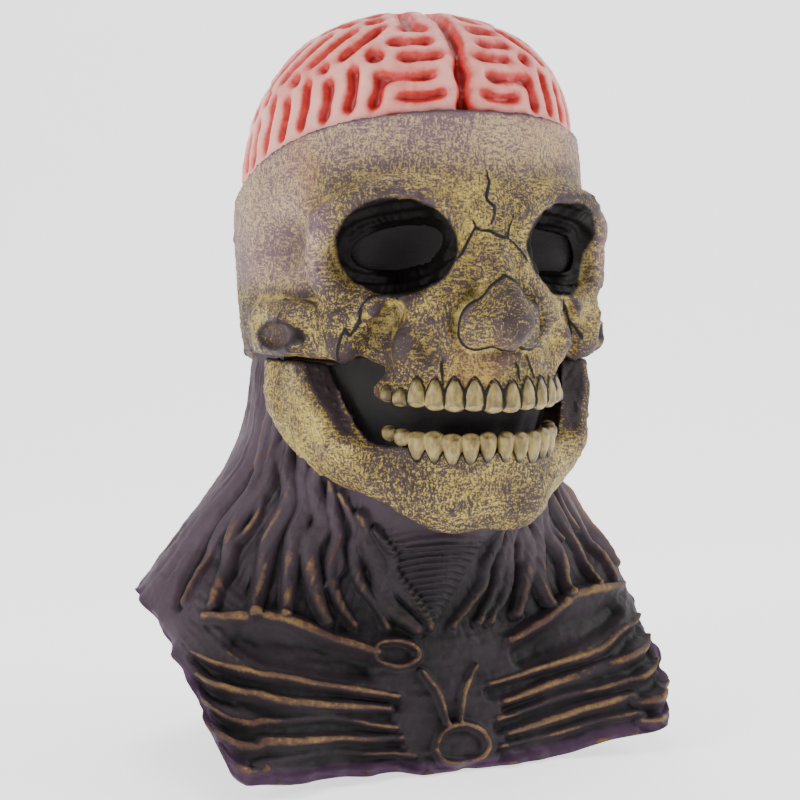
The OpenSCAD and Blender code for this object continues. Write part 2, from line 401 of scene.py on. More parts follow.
def bone_texture(points, height, seed):
    """Dents and pores of the bone latex."""
    dents = height * fractal(points, 11, seed) + 0.24 * fractal(points, 2.6, seed + 10, 2)
    return dents - 0.7 * smooth_step(0.52, 0.8, lattice_noise(points, 3.4, seed + 20))


def gum_crease(points, teeth, near):
    """1 along the line where the gum meets the teeth, and 0 where near is false."""
    return np.where(near, 1 - smooth_step(0.1, 1.1, np.abs(teeth.sample(points))), 0)


# ---------------------------------------------------------------- skull

WALL = 3.0
RIM_Z, RIM_RISE = 304.0, 34.0
EYE = np.array([-39.0, -65.0, 266.0])       # right eye hole, on the floor of its socket
EYE_TURN = 27.0
SKULL_W, SKULL_D = 91.0, 102.5
LEAN_Z, LEAN = 293.0, 0.10   # above this height the walls lean in by so much for each millimetre


def rim_z(y):
    return RIM_Z - RIM_RISE * np.tanh((y - HEAD_Y) / 85)


def lean(z):
    return LEAN * np.maximum(z - LEAN_Z, 0)


def skull_half(z):
    """Half the width and half the depth of the bare skull at a height."""
    return (SKULL_W - 0.0010 * np.maximum(285 - z, 0) ** 2 - lean(z),
            SKULL_D - 0.0018 * np.maximum(250 - z, 0) ** 2 - lean(z))


def skull_edge(x, y):
    """Height of the skull's lower edge: gum line in front, then cheekbones, jaw joints and nape."""
    angle = np.degrees(np.arctan2(np.abs(x), HEAD_Y - y))
    return np.interp(angle, [0, 26, 35, 40, 47, 62, 84, 105, 130, 180],
                     [189, 191, 192, 197, 211.5, 213, 213.5, 213, 207, 202])


def model_skull():
    clay = Clay([-104, -128, 184], [0, 126, 336], 1.0)
    _, x, y, z = clay.grid()
    half_w, half_d = skull_half(z)
    clay.d[:] = (np.sqrt((x / half_w) ** 2 + ((y - HEAD_Y) / half_d) ** 2) - 1) * 97

    # flat temples, with a soft edge against the forehead
    clay.cut(Ball([-107, -31, 268], [32, 32, 29]), 6)
    # upper jaw: an arch under the nose, with a hollow under each cheekbone
    arch = np.sqrt((x / 45) ** 2 + ((y + 58) / 43) ** 2)
    upper_jaw = np.maximum((arch - 1) * 42 + 0.10 * (z - 200), np.maximum(z - 236, 186 - z))
    low_face = smooth_step(246, 216, z + 0 * x + 0 * y)
    face = soft_min(clay.d + 13 * low_face * (y < -20), upper_jaw, 10)
    clay.d[:] = np.where(y < -20, face, clay.d)
    clay.add(Ball([-30, -76, 222], [18, 17, 15]), 9)
    # brow
    clay.add(Strand([[0, -81, 286], [-18, -81, 287], [-42, -77, 291], [-62, -65, 287], [-72, -56, 277]],
                    [7, 8, 8, 8, 7], 4), 8)
    clay.add(Ball([0, -80, 281], [13, 10, 14]), 8)
    # rim of the eye socket: outer side, cheek, lower edge and up beside the nose
    clay.add(Strand([[-72, -56, 279], [-75, -52, 266], [-73, -52, 252], [-64, -59, 242], [-48, -72, 237],
                     [-32, -80, 241], [-20, -83, 252], [-16, -83, 266], [-18, -82, 281]],
                    [7, 6.5, 7.5, 8, 7, 6, 6, 6, 7], 4), 7)
    # cheekbone and its arch back to the jaw joint
    clay.add(Ball([-62, -57, 232], [14, 13, 11], 30), 6)
    clay.add(Strand([[-66, -53, 229], [-79, -38, 234], [-87, -20, 236], [-89, -2, 234], [-87, 12, 230]],
                    [9, 6.5, 5.5, 5, 3], 4), 3.5)
    clay.add(Ball([-64, -58, 222], [10.5, 10, 11], 30), 4)
    # jaw joint: bumps under the arch's rear end
    clay.add(Ball([-84, -22, 222], [8, 24, 12]), 7)
    clay.add(Ball([-70, -38, 222], [12, 20, 13], 25), 4)
    # a low swelling over the hinge
    clay.add(Ball([-84, -4, 223], [8, 15, 17]), 6)
    # rear of the upper jaw
    clay.add(Ball([-45, -58, 222], [15, 11, 12], 35), 5)
    # nasal bones and the sides of the nose
    clay.add(Strand([[0, -82, 277], [0, -86, 264], [0, -91, 253]], [8, 8, 9], 3), 8)
    clay.add(Strand([[-8, -84, 262], [-17, -84, 246], [-26, -84, 228], [-26, -82, 214]], [8, 9, 9, 8], 3), 8)
    # eye sockets, deep and round, with the lids' folds round the eye hole
    clay.cut(Ball([-47, -85, 266], [27, 17, 23.5], 30), 3.5)
    clay.cut(Ball([-43, -76, 266], [24, 13.5, 17], 28), 3)
    # nose: a heart-shaped opening filled by a bulging septum
    clay.cut(Strand([[0, -104, 254], [-8, -101, 246], [-15, -98, 236], [-18, -97, 228], [-12, -100, 223]],
                    [3, 5, 6, 6, 5], 4), 4)
    clay.add(Strand([[0, -92, 250], [0, -100, 240], [0, -107, 229]], [7, 10, 11.5], 4), 3)
    clay.add(Ball([-10, -97, 230], [10, 9, 11]), 5)
    clay.add(Ball([-12, -97, 224], [7, 8, 6]), 3)
    # hollow of the canine tooth
    clay.cut(Ball([-35, -95, 216], [8, 10, 11]), 9)
    clay.cut(Strand([[-46, -77, 235], [-50, -71, 224], [-53, -67, 213]], [6, 7, 6]), 4)
    # pit of the jaw joint, with a flat disc in it
    clay.cut(Ball([-98, -28, 223.5], [14, 21, 8.5]), 1.6)
    clay.add(Ball([-82.5, -27, 223], [3.2, 13, 4.8]), 1.0)
    return clay.mirrored()


def socket_frame(x, y, z):
    """Across, up and depth of a place, in the frame of the eye hole on its side."""
    across, back = -np.abs(x) - EYE[0], y - EYE[1]
    c, s = math.cos(math.radians(EYE_TURN)), math.sin(math.radians(EYE_TURN))
    return across * c - back * s, z - EYE[2], across * s + back * c


def eye_oval(u, v):
    """1 on the edge of the eye hole, less inside it."""
    return np.sqrt((u / 22) ** 2 + ((v - 0.17 * u - 0.0012 * u * u) / 10.2) ** 2)


# Cracks in the bone: knots of each line, which project_to moves onto the surface
CRACKS = [
    [[-2, -84, 303], [-1, -85, 296], [-4, -88, 289], [-1, -90, 284], [-2, -90, 277]],
    [[-11, -88, 279], [-9, -90, 275], [-2, -92, 273], [5, -91, 270], [7, -89, 276], [9, -88, 282]],
    [[-10, -89, 275], [-14, -88, 266], [-17, -86, 258]],
    [[6, -90, 270], [12, -88, 262], [15, -87, 258]],
    [[-67, -60, 215], [-66, -61, 223], [-62, -64, 233], [-54, -72, 241], [-38, -82, 243]],
    [[44, -74, 243], [40, -78, 236], [37, -80, 228]],
    [[44, -74, 243], [50, -70, 238], [44, -76, 232], [40, -78, 226]],
    [[50, -70, 238], [56, -66, 236], [60, -62, 240], [58, -62, 232], [64, -56, 228]],
    [[-21, -85, 198], [-22, -85, 212]],
    [[8, -100, 212], [9, -98, 202]],
    [[15, -98, 214], [17, -95, 203]],
]
NOSE_OUTLINE = [[0, -104, 254], [-7, -102, 247], [-14, -99, 239], [-19, -96, 231], [-20, -95, 225],
                [-15, -98, 220], [-9, -102, 219], [-4, -106, 217], [0, -108, 216]]


def nose_lines():
    half = np.array(NOSE_OUTLINE, float)
    return [curve_points(half, 5), curve_points(half * [-1, 1, 1], 5)]


def project_to(clay, points):
    """Moves points onto the form's surface along the field's slope."""
    p = np.array(points, float)
    for _ in range(4):
        d = clay.sample(p)
        slope = np.column_stack([(clay.sample(p + e) - clay.sample(p - e)) / 2 for e in np.eye(3)])
        length = np.maximum(np.linalg.norm(slope, axis=1), 0.3)[:, None]
        p = p - np.clip(d, -12, 12)[:, None] * slope / length ** 2
    return p


def skull_cracks(clay, points):
    """1 in the cracks, along the nose and in the small pit of the cheek, 0 away from them."""
    dark_line = np.zeros(len(points))
    for knots in CRACKS:
        line = project_to(clay, curve_points(knots, 5))
        wander = lattice_noise(line, 4, 3)[:, None] * 0.6
        gap, along = distance_to_path(points, line + wander)
        width = 0.55 + 0.45 * np.sin(np.pi * np.clip(along, 0.02, 0.98))
        dark_line = np.maximum(dark_line, np.exp(-(gap / width) ** 2))
    for line in nose_lines():
        gap, _ = distance_to_path(points, project_to(clay, line))
        dark_line = np.maximum(dark_line, np.exp(-(gap / 1.3) ** 2))
    pit, _ = distance_to_path(points, [[40, -76, 239], [44, -74, 233]])
    return np.maximum(dark_line, 1 - smooth_step(2.5, 4.5, pit))


def build_skull(teeth, material):
    clay = model_skull()
    _, x, y, z = clay.grid()
    form = clay.d.copy()
    foot = skull_edge(x + 0 * y, y + 0 * x)
    ended = soft_max(form, (foot - z) * 0.8, 3)
    shell = np.maximum(ended, -(ended + WALL))
    shell = np.maximum(shell, -(form + 9))
    shell = soft_max(shell, z - rim_z(y) + 0 * x, 1.2)
    shell = np.maximum(shell, np.where(z > rim_z(y) - 14, -(form + WALL), -9))
    u, v, w = socket_frame(x, y, z)
    hole = np.maximum((eye_oval(u, v) - 1) * 13, np.abs(w) - 14)
    clay.d = soft_max(shell, -hole, 1.5).astype(np.float32)
    points, faces, edges = cast_surface(clay, 1)
    normal = normals_of(points, faces)
    clay.d = form
    depth = -clay.sample(points)
    outside = 1 - smooth_step(0.8, 2.2, depth)
    front = smooth_step(-20, -50, points[:, 1])

    u, v, _ = socket_frame(*points.T)
    oval = eye_oval(u, v)
    near_eye = front * (1 - smooth_step(1.06, 1.32, np.sqrt((u / 25) ** 2 + (v / 19.5) ** 2)))
    in_socket = outside * near_eye
    folds = in_socket * 0.75 * np.sin((oval - 1) * 14 + 0.9 * lattice_noise(points, 9, 5)) * (oval > 0.98)
    creases = np.column_stack([np.arctan2(v, u) * 14, oval * 1.5, points[:, 0] > 0])
    folds += in_socket * 0.45 * lattice_noise(creases, 1.0, 6)

    dark_line = skull_cracks(clay, points)
    joint = np.sqrt(((points[:, 1] + 28) / 19) ** 2 + ((points[:, 2] - 223.5) / 7.6) ** 2)
    beside = np.abs(points[:, 0]) > 78
    # painted shade: a dark line round the edge of the jaw joint's pit, added to the dark lines of the cracks
    dark_line = np.maximum(dark_line, 0.55 * np.exp(-((joint - 0.95) / 0.11) ** 2) * beside)
    near_teeth = (points[:, 2] < 216) & (points[:, 1] < -50)
    dark_line = np.maximum(dark_line, gum_crease(points, teeth, near_teeth)) * outside

    hollow = clay.hollow(points, 8)
    texture = bone_texture(points, 0.55, 11)
    push = outside * (1 - 0.7 * in_socket) * texture + folds - 1.5 * dark_line
    points = points + normal * push[:, None]
    relief = relief_of(points, faces, edges, 40)
    # cavity is the mask's dark crevice paint together with painted shade in the creases; hollow is painted
    # shade in the broad hollows, such as under the cheekbones and round the eye sockets, and over the whole
    # pit of the jaw joint
    layers = {
        "cavity": smooth_step(0.2, 2.2, -relief) * outside,
        "ridge": smooth_step(0.1, 1.8, relief) * outside * (1 - (joint < 1) * beside),
        "hollow": np.maximum(smooth_step(-0.4, 1.6, hollow), (joint < 1) * beside) * outside,
        "dark_line": dark_line,
        "socket": near_eye,
        "inside": (1 - outside) * (1 - near_eye),
    }
    piece = add_mesh("skull_shell_cast", points, faces, "mask", material,
                     ["skull_shell"], layers)
    thin_inside(piece, 1 - outside, 0.15)
    return clay


def thin_inside(piece, weight, ratio):
    """Fewer faces on the plain inner wall."""
    group = piece.vertex_groups.new(name="plain")
    chosen = np.nonzero(weight > 0.9)[0]
    group.add(chosen.tolist(), 1.0, "REPLACE")
    share = len(chosen) / len(weight)
    modifier = piece.modifiers.new("thin", "DECIMATE")
    modifier.ratio = 1 - share * (1 - ratio)
    modifier.vertex_group = "plain"
    bake_modifiers(piece)
    piece.vertex_groups.clear()


def bake_modifiers(piece):
    graph = bpy.context.evaluated_depsgraph_get()
    mesh = bpy.data.meshes.new_from_object(piece.evaluated_get(graph))
    old = piece.data
    piece.modifiers.clear()
    piece.data = mesh
    bpy.data.meshes.remove(old)
    shade_smooth(mesh)


# ---------------------------------------------------------------- teeth

class Tooth:
    """One tooth on the dental arch: a rounded crown and a root that tapers into the gum.
    up is 1 where the crown points up."""

    def __init__(self, place, turn, width, height, thick, up, root):
        self.place, self.turn, self.up = np.array(place, float), turn, up
        self.width, self.height, self.thick, self.root = width, height, thick, root
        reach = np.array([width, width, height + root])
        self.low, self.high = self.place - reach, self.place + reach

    def distance(self, x, y, z):
        c, s = math.cos(self.turn), math.sin(self.turn)
        px, py = x - self.place[0], y - self.place[1]
        u, w = px * c + py * s, -px * s + py * c
        v = (z - self.place[2]) * self.up
        a, b, h = self.width / 2, self.thick / 2, self.height / 2
        taper = 1 + 0.16 * np.clip(v / h, -1, 1)
        crown = (np.abs(u / (a * taper)) ** 2.8 + np.abs(w / b) ** 2.2 + np.abs(v / h) ** 3) ** (1 / 2.5) - 1
        t = np.clip(-v / (h + self.root), 0, 1)
        root = np.sqrt(u * u + w * w) - a * 0.84 * (1 - t * t) ** 0.6
        root = np.maximum(root, np.maximum(-v - h - self.root, v - h / 2))
        return soft_min(crown * b * 1.4, root, 2.0)


def arch_places(half_width, depth, back_y, spacing, count):
    """Places and turns along a half-elliptic arch, equally far apart, starting beside the middle."""
    angles = np.linspace(0, math.pi / 2 * 1.1, 400)
    arc = np.column_stack([-half_width * np.sin(angles), back_y - depth * np.cos(angles)])
    length = np.append(0, np.cumsum(np.linalg.norm(np.diff(arc, axis=0), axis=1)))
    out = []
    for i in range(count):
        a = np.interp((i + 0.5) * spacing, length, angles)
        place = (-half_width * math.sin(a), back_y - depth * math.cos(a))
        turn = -math.atan2(depth * math.sin(a), half_width * math.cos(a))
        out.append((place, turn))
    return out


# half width, depth, rear y, spacing and count; then each tooth's width and height from the middle
UPPER_ARCH = (46, 42, -58, 9.3, 7)
LOWER_ARCH = (44, 38, -56, 8.7, 7)
MOLAR = 5               # teeth from this one on are thicker, with a short root
UPPER_SIZES = [(9.4, 12), (9.0, 12), (8.8, 12.5), (8.6, 11.5), (8.4, 10.5), (7.8, 8), (7.4, 7)]
LOWER_SIZES = [(7.6, 11), (8.0, 11.5), (8.4, 12), (8.4, 11.5), (8.6, 10.5), (7.8, 8), (7.4, 7)]


def model_teeth(arch, sizes, edge_z, rise, up, box):
    clay = Clay(*box, 0.55)
    for i, ((place, turn), (width, height)) in enumerate(zip(arch_places(*arch), sizes)):
        thick, root = (6.4, 1.0) if i >= MOLAR else (5.6, 4.5)
        edge = edge_z + rise * i * i
        wobble = 0.5 * math.sin(2.3 * i + up)
        middle = edge - up * height / 2 + wobble
        clay.add(Tooth((*place, middle), turn, width * 1.04, height, thick, up, root), 0.35)
    return clay.mirrored()


def build_teeth(clay, name, body, node, material):
    points, faces, edges = cast_surface(clay, 2)
    normal = normals_of(points, faces)
    points = points + normal * (0.14 * fractal(points, 3, 41))[:, None]
    relief = relief_of(points, faces, edges, 25)
    layers = {"cavity": smooth_step(0.05, 0.9, -relief), "ridge": smooth_step(0.1, 0.9, relief)}
    add_mesh(name, points, faces, body, material, [node], layers)


# ---------------------------------------------------------------- jaw

def model_jaw():
    clay = Clay([-96, -106, 116], [0, 22, 222], 0.8)
    _, x, y, z = clay.grid()
    arch = np.sqrt((x / 45) ** 2 + ((y + 54) / 40) ** 2)
    clay.d[:] = np.maximum((arch - 1) * 40 + 0.22 * (168 - z), np.maximum(z - 190, 142 - z)) * np.ones_like(y)
    clay.d[:] = np.where(y < -50, clay.d, np.maximum(clay.d, (y + 50) * 0.7))
    clay.add(Ball([0, -66, 146], [31, 19, 20]), 14)
    clay.add(Ball([-12, -68, 138], [16, 14, 12]), 14)
    clay.add(Strand([[-20, -68, 147], [-42, -55, 156], [-60, -38, 166], [-69, -20, 178], [-72, -6, 194]],
                    [15, 15, 14.5, 13, 12], 3), 12)
    clay.add(Strand([[-63, -50, 172], [-67, -42, 190], [-71, -34, 212]], [10, 9.5, 9], 3), 10)
    clay.add(Ball([-71, -19, 193], [13, 28, 26]), 8)
    clay.add(Strand([[-74, -6, 190], [-77, -1, 214]], [10, 9]), 8)
    return clay.mirrored()


def build_jaw(teeth, material):
    clay = model_jaw()
    _, x, y, z = clay.grid()
    form = clay.d.copy()
    gum = 168 + 0.0022 * np.abs(x) ** 1.9
    ramus_front = -56 + 0.52 * (z - 174)
    opening = soft_max(gum - z, y - ramus_front, 6)
    ended = soft_max(form, -opening, 3)
    ended = soft_max(ended, z - 210.8 + 0.03 * np.maximum(-8 - y, 0), 1.5)
    shell = np.maximum(ended, -(ended + WALL))
    core = (np.sqrt((x / 72) ** 2 + ((y + 4) / 76) ** 2) - 1) * 70
    shell = soft_max(shell, -core - 0 * z, 1.0)
    clay.d = shell.astype(np.float32)
    points, faces, edges = cast_surface(clay, 1)
    normal = normals_of(points, faces)
    clay.d = form.astype(np.float32)
    depth = -clay.sample(points)
    clay.d = ended.astype(np.float32)
    skin_depth = -clay.sample(points)
    outside = 1 - smooth_step(0.8, 2.2, skin_depth)
    lip = outside * smooth_step(1.0, 5.0, depth)
    near_teeth = (points[:, 2] > 150) & (points[:, 1] < -50)
    dark_line = gum_crease(points, teeth, near_teeth) * outside
    clay.d = form.astype(np.float32)
    hollow = clay.hollow(points, 8)
    points = points + normal * (outside * bone_texture(points, 0.5, 51) - 1.2 * dark_line)[:, None]
    relief = relief_of(points, faces, edges, 40)
    # cavity: dark crevice paint together with painted shade in the creases, and it also darkens the rolled-in
    # lip behind the teeth; hollow: painted shade in the broad hollows
    layers = {
        "cavity": np.maximum(smooth_step(0.2, 2.2, -relief) * outside, lip),
        "ridge": smooth_step(0.1, 1.8, relief) * outside * (1 - lip),
        "hollow": smooth_step(-0.4, 1.6, hollow) * outside,
        "dark_line": dark_line,
        "socket": np.zeros(len(points)),
        "inside": 1 - outside,
    }
    piece = add_mesh("jaw_cast", points, faces, "jaw", material, ["jaw_shell"], layers)
    thin_inside(piece, 1 - outside, 0.2)


# ---------------------------------------------------------------- brain

CROWN_Z = 391.0
SQUARE = 2.25           # 2 would make the dome a plain ellipsoid; more makes its shoulders fuller
CAP_GAP = 3.4           # skull's outside to the cap's outside
BRAIN_W, BRAIN_D = SKULL_W - CAP_GAP, SKULL_D - CAP_GAP
FLANGE = 8.0            # how far the cap goes down behind the skull's rim
GROOVE = 3.9            # depth of the grooves between the folds
SPLIT = 2.5             # how much deeper the fissure is
# Where the folds are steered, in degrees: turn goes from the middle of the face towards the mask's right,
# rise from the rim to the crown. All the other grooves grow by themselves.
FISSURE_TURN = 7
BAR_RISES = (6, 15, 25, 34)     # level grooves in front, on both sides of the fissure
BAR_NEAR, BAR_FAR = 5, 26       # how far from the fissure they start and end
UPRIGHT_FIRST, UPRIGHT_STEP, UPRIGHT_COUNT = 30, 9, 7
UPRIGHT_LOW, UPRIGHT_HIGH = 2, 18
LEANING_COUNT = 4               # grooves that lean forward over the temples


def fissure():
    front = [(FISSURE_TURN, rise) for rise in range(0, 90, 14)]
    return front + [(180, rise) for rise in range(80, 0, -20)]


def leading_grooves():
    """Level grooves in front, upright ones at the sides, leaning ones above, mirrored in the fissure."""
    half = []
    for i, rise in enumerate(BAR_RISES):
        shift = 4 * (i % 2)
        half.append([(BAR_NEAR + shift, rise + 1), (BAR_FAR / 2, rise - 1), (BAR_FAR - 4 + shift, rise)])
    for i in range(UPRIGHT_COUNT):
        turn = UPRIGHT_FIRST + UPRIGHT_STEP * i
        top = UPRIGHT_HIGH + 5 * (i % 2)
        half.append([(turn, UPRIGHT_LOW), (turn - 2, (UPRIGHT_LOW + top) / 2), (turn - 1, top)])
    for i in range(LEANING_COUNT):
        turn = UPRIGHT_FIRST + 14 * i
        half.append([(turn + 14, 28), (turn + 6, 37), (turn, 48)])
    return [[(FISSURE_TURN + side * turn, rise) for turn, rise in knots]
            for side in (1, -1) for knots in half]


def brain_point(turn, rise):
    turn, rise = np.radians(turn), np.radians(rise)
    foot = rim_z(HEAD_Y - BRAIN_D * np.cos(turn))
    out, up = np.maximum(np.cos(rise), 0) ** (2 / SQUARE), np.sin(rise) ** (2 / SQUARE)
    inset = lean(foot)
    return np.stack([(inset - BRAIN_W) * np.sin(turn) * out, HEAD_Y - (BRAIN_D - inset) * np.cos(turn) * out,
                     foot + (CROWN_Z - foot) * up], -1)


def brain_path(knots, steps=5):
    turn, rise = np.array(knots, float).T
    return curve_points(brain_point(turn, rise), steps)


def dome_foot(x, y):
    """How far out a place is, 1 at the dome's foot, and the height of the rim in its direction."""
    across = np.sqrt((x / BRAIN_W) ** 2 + ((y - HEAD_Y) / BRAIN_D) ** 2)
    return across, rim_z(HEAD_Y + (y - HEAD_Y) / np.maximum(across, 0.05))


def dome(x, y, z):
    """About the distance from the smooth dome that the folds stand on."""
    across, foot = dome_foot(x, y)
    across = across * (1 + lean(foot) / 94)
    up = np.maximum(z - foot, 0) / (CROWN_Z - foot)
    return ((across ** SQUARE + up ** SQUARE) ** (1 / SQUARE) - 1) * 92


def grow_folds():
    """A coarse field over the dome, 1 along a fold and -1 along a groove."""
    clay = Clay([-98, -94, 252], [98, 126, 402], 2.25)
    _, x, y, z = clay.grid()
    near = (np.abs(dome(x, y, z)) < 5).astype(np.float32)
    cells = np.argwhere(near > 0)
    places = clay.low + cells * clay.step
    nearest = np.full(len(places), 99.0)
    for knots in leading_grooves():
        nearest = np.minimum(nearest, distance_to_path(places, brain_path(knots))[0])
    drawn = np.where(nearest < 1.7, -1.6, np.where((nearest > 3) & (nearest < 7), 0.8, 0.0))
    split, _ = distance_to_path(places, brain_path(fissure()))
    drawn = np.where(split < 2.4, -1.8, drawn)
    pull = np.zeros(clay.d.shape, np.float32)
    pull[tuple(cells.T)] = drawn
    value = pull + 0.5 * np.random.default_rng(8).standard_normal(clay.d.shape).astype(np.float32)
    narrow_share = np.maximum(spread(near, 2), 0.05)
    wide_share = np.maximum(spread(near, 7), 0.05)
    for _ in range(26):
        narrow = spread(value * near, 2)
        wide = spread(narrow, 5) / wide_share
        value = np.tanh(5.0 * (narrow / narrow_share - wide) + 0.3 + 0.8 * pull)
    clay.d = spread(value * near, 1) / np.maximum(spread(near, 1), 0.05)
    return clay


def build_brain(material):
    folds = grow_folds()
    clay = Clay([-94, -90, 254], [94, 124, 400], 1.15)
    _, x, y, z = clay.grid()
    skin = dome(x, y, z)
    foot = dome_foot(x, y)[1] - FLANGE
    clay.d = np.maximum(np.maximum(skin, -(skin + WALL)), foot - z).astype(np.float32)
    points, faces, _ = cast_surface(clay, 2)
    clay.d = (skin + 0 * z).astype(np.float32)
    outward = np.column_stack([clay.sample(points + e) - clay.sample(points - e) for e in np.eye(3)])
    outward /= np.maximum(np.linalg.norm(outward, axis=1), 1e-6)[:, None]
    depth = -clay.sample(points)
    outside = 1 - smooth_step(0.8, 2.2, depth)
    front_y, rear_y = -90.0, 120.0
    rim = np.interp(points[:, 1], [front_y, rear_y], [rim_z(front_y), rim_z(rear_y)])
    above = smooth_step(-4, 1, points[:, 2] - rim)
    value = folds.sample(points)
    groove = 1 - smooth_step(-0.7, 0.25, value)
    split, _ = distance_to_path(points, brain_path(fissure()))
    split = np.exp(-(split / 2.6) ** 2)
    crest = smooth_step(-0.1, 0.99, value) * (1 - split)
    sunk = GROOVE * groove + SPLIT * split + 0.9 * (1 - crest)
    sunk = above * (sunk * outside + (GROOVE + SPLIT + 0.9) * (1 - outside))
    texture = outside * above * (0.35 * fractal(points, 9, 81) + 0.12 * fractal(points, 2.4, 85, 2))
    points = points + outward * (texture - sunk)[:, None]
    layers = {
        "groove": np.maximum(groove, split) * above,
        "crest": crest * outside * above,
        "height": np.clip((points[:, 2] - 300) / 94, 0, 1),
        "inside": 1 - outside,
    }
    piece = add_mesh("brain_cap_cast", points, faces, "mask", material, ["brain_cap"], layers)
    thin_inside(piece, 1 - outside, 0.2)


# ---------------------------------------------------------------- neck and bib

SLEEVE_INSET = 5.5              # skull's outside to the sleeve's top edge
SLEEVE_TURNS = (106, 126, 152, 180)


def inside_skull(z):
    """Places just inside the skull's wall at a height, from the ear to the middle of the back."""
    half_w, half_d = skull_half(z)
    turns = np.radians(SLEEVE_TURNS)
    return [[-(half_w - SLEEVE_INSET) * math.sin(a), HEAD_Y - (half_d - SLEEVE_INSET) * math.cos(a), z]
            for a in turns]


# Rows of points round the sleeve, right half, each from the throat to the spine. The top two rows end inside
# the skull, the bottom one is the hem.
NECK_ROWS = [
    [[0, -37, 132], [-26, -34, 134], [-50, -16, 172], [-69, 8, 208], *inside_skull(220)],
    [[0, -36, 118], [-28, -31, 120], [-54, -14, 150], [-71, 6, 182], *inside_skull(206)],
    [[0, -33, 100], [-32, -27, 102], [-60, -14, 124], [-80, 6, 150],
     [-86, 40, 160], [-72, 82, 164], [-39, 102, 162], [0, 109, 160]],
    [[0, -32, 76], [-42, -26, 78], [-80, -16, 90], [-106, 10, 112],
     [-116, 50, 118], [-86, 90, 116], [-42, 106, 110], [0, 111, 108]],
    [[0, -42, 34], [-52, -40, 40], [-98, -36, 52], [-126, 0, 80],
     [-131, 54, 98], [-92, 98, 72], [-46, 111, 52], [0, 115, 48]],
    [[0, -50, 0.7], [-60, -50, 2], [-120, -60, 12], [-133, -4, 56],
     [-138, 58, 86], [-92, 102, 34], [-46, 114, 5], [0, 118, 0.5]],
]
SIDE = 7                # s at the spine
HEM = 5                 # r at the hem
# Cords and bones are given as a radius and a height in millimetres, then places (s, r). s runs round the
# sleeve, from 0 at the throat to SIDE at the spine, plus on the mask's right. r runs down.
CORDS = 9                       # on each side
CORD_TOP, THROAT_PIT = 1.1, 3.15
RIBS = 5                        # on each side
FIRST_RIB, RIB_PITCH = 3.86, 0.19
COLLARBONE = [(2.8, 3.8), (2.0, 3.25), (1.3, 3.34), (0.8, 3.42)]
PIPE_WIDE, PIPE_TAPER = 1.1, 0.5


def neck_cords():
    """Cords that come down from under the jaw. The inner ones gather at the pit of the throat, the outer ones
    run on to the shoulder, and thin ones branch off."""
    chance = np.random.default_rng(17)
    cords = []
    for side in (1, -1):
        for i in range(CORDS):
            share = i / (CORDS - 1)
            top, foot = 1.15 + 2.3 * share, 0.2 + 3.0 * share ** 1.2
            low = THROAT_PIT - 0.05 + 1.9 * max(share - 0.6, 0)
            down = np.linspace(0, 1, 6)
            across = top + (foot - top) * down ** 1.4 + 0.13 * chance.uniform(-1, 1, 6)
            radius = chance.uniform(2.6, 5.6)
            knots = [(side * s, CORD_TOP + (low - CORD_TOP) * t) for s, t in zip(across, down)]
            cords.append((radius, 3.2 + 0.6 * radius, knots))
            if i % 2:
                start = np.array(knots[2])
                cords.append((2.2, 4.4, [start, start + (-0.2 * side, 0.4), start + (-0.15 * side, 0.75)]))
    return cords


def ring(s, r, half_s, half_r):
    return [(s + half_s * math.cos(a), r + half_r * math.sin(a)) for a in np.linspace(0, 2 * math.pi, 9)]


def rib(side, i):
    """One rib, level near the breastbone and dropping at its outer end, no two quite alike."""
    chance = np.random.default_rng(30 + 10 * side + i)
    r = FIRST_RIB + RIB_PITCH * i
    end = 2.8 - 0.14 * i
    places = [(end, min(r + 0.5, 4.95)), (end - 0.5, r + 0.16), (1.8, r + 0.05), (1.2, r),
              (0.35 + 0.3 * chance.random(), r + 0.02)]
    return [(side * s, place_r + 0.035 * chance.uniform(-1, 1)) for s, place_r in places]


def chest_bones():
    """Collarbones, ribs and the knotted bone between them."""
    bones = []
    for side in (1, -1):
        bones.append((5.2, 6.5, [(side * s, r) for s, r in COLLARBONE]))
        bones += [(3.0 + 1.6 * (i % 2), 5.0 + 0.8 * (i % 2), rib(side, i)) for i in range(RIBS)]
        bones.append((2.4, 5.6, [(side * 0.32, 3.6), (side * 0.15, 3.85), (side * 0.06, 4.25)]))
    bones.append((2.5, 6.2, ring(0.6, 3.42, 0.26, 0.15)))
    bones.append((2.6, 5.6, ring(-0.05, 4.55, 0.26, 0.28)))
    return bones


def sleeve_hollows():
    """Hollows between the ribs, and long furrows down the sides and the back."""
    hollows = []
    for side in (1, -1):
        hollows += [(5.5, 3.6, [(s, r + RIB_PITCH / 2) for s, r in rib(side, i)]) for i in range(RIBS)]
        hollows.append((9.0, 5.0, [(side * 2.4, 3.75), (side * 1.7, 3.55), (side * 0.9, 3.62)]))
        hollows.append((5.0, 3.5, [(side * 3.4, 2.1), (side * 3.25, 3.1), (side * 3.2, 4.0)]))
        for s in (4.7, 5.8):
            hollows.append((9.0, 2.5, [(side * s, 1.4), (side * (s + 0.1), 2.5), (side * s, 4.2)]))
    hollows.append((10.0, 3.0, [(SIDE, 1.4), (SIDE, 2.6), (SIDE, 4.0)]))
    return hollows


def sleeve(s, r):
    """Places on the bare sleeve."""
    rows = np.array([row + [[-x, y, z] for x, y, z in row[-2:0:-1]] for row in NECK_ROWS], float)
    around = rows.shape[1]
    s, r = np.broadcast_arrays(np.asarray(s, float) % around, np.asarray(r, float))
    i, j = np.floor(s).astype(int), np.clip(np.floor(r).astype(int), 0, HEM - 1)
    t, u = (s - i)[..., None], (r - j)[..., None]

    def along(k):
        k = np.clip(k, 0, HEM)
        return blend(*(rows[k, (i + step) % around] for step in (-1, 0, 1, 2)), t)
    return blend(along(j - 1), along(j), along(j + 1), along(j + 2), u)


def uneven(counts, low=0):
    """Places from low upwards, with so many steps in each whole unit."""
    return np.concatenate([low + i + np.arange(n) / n for i, n in enumerate(counts)])


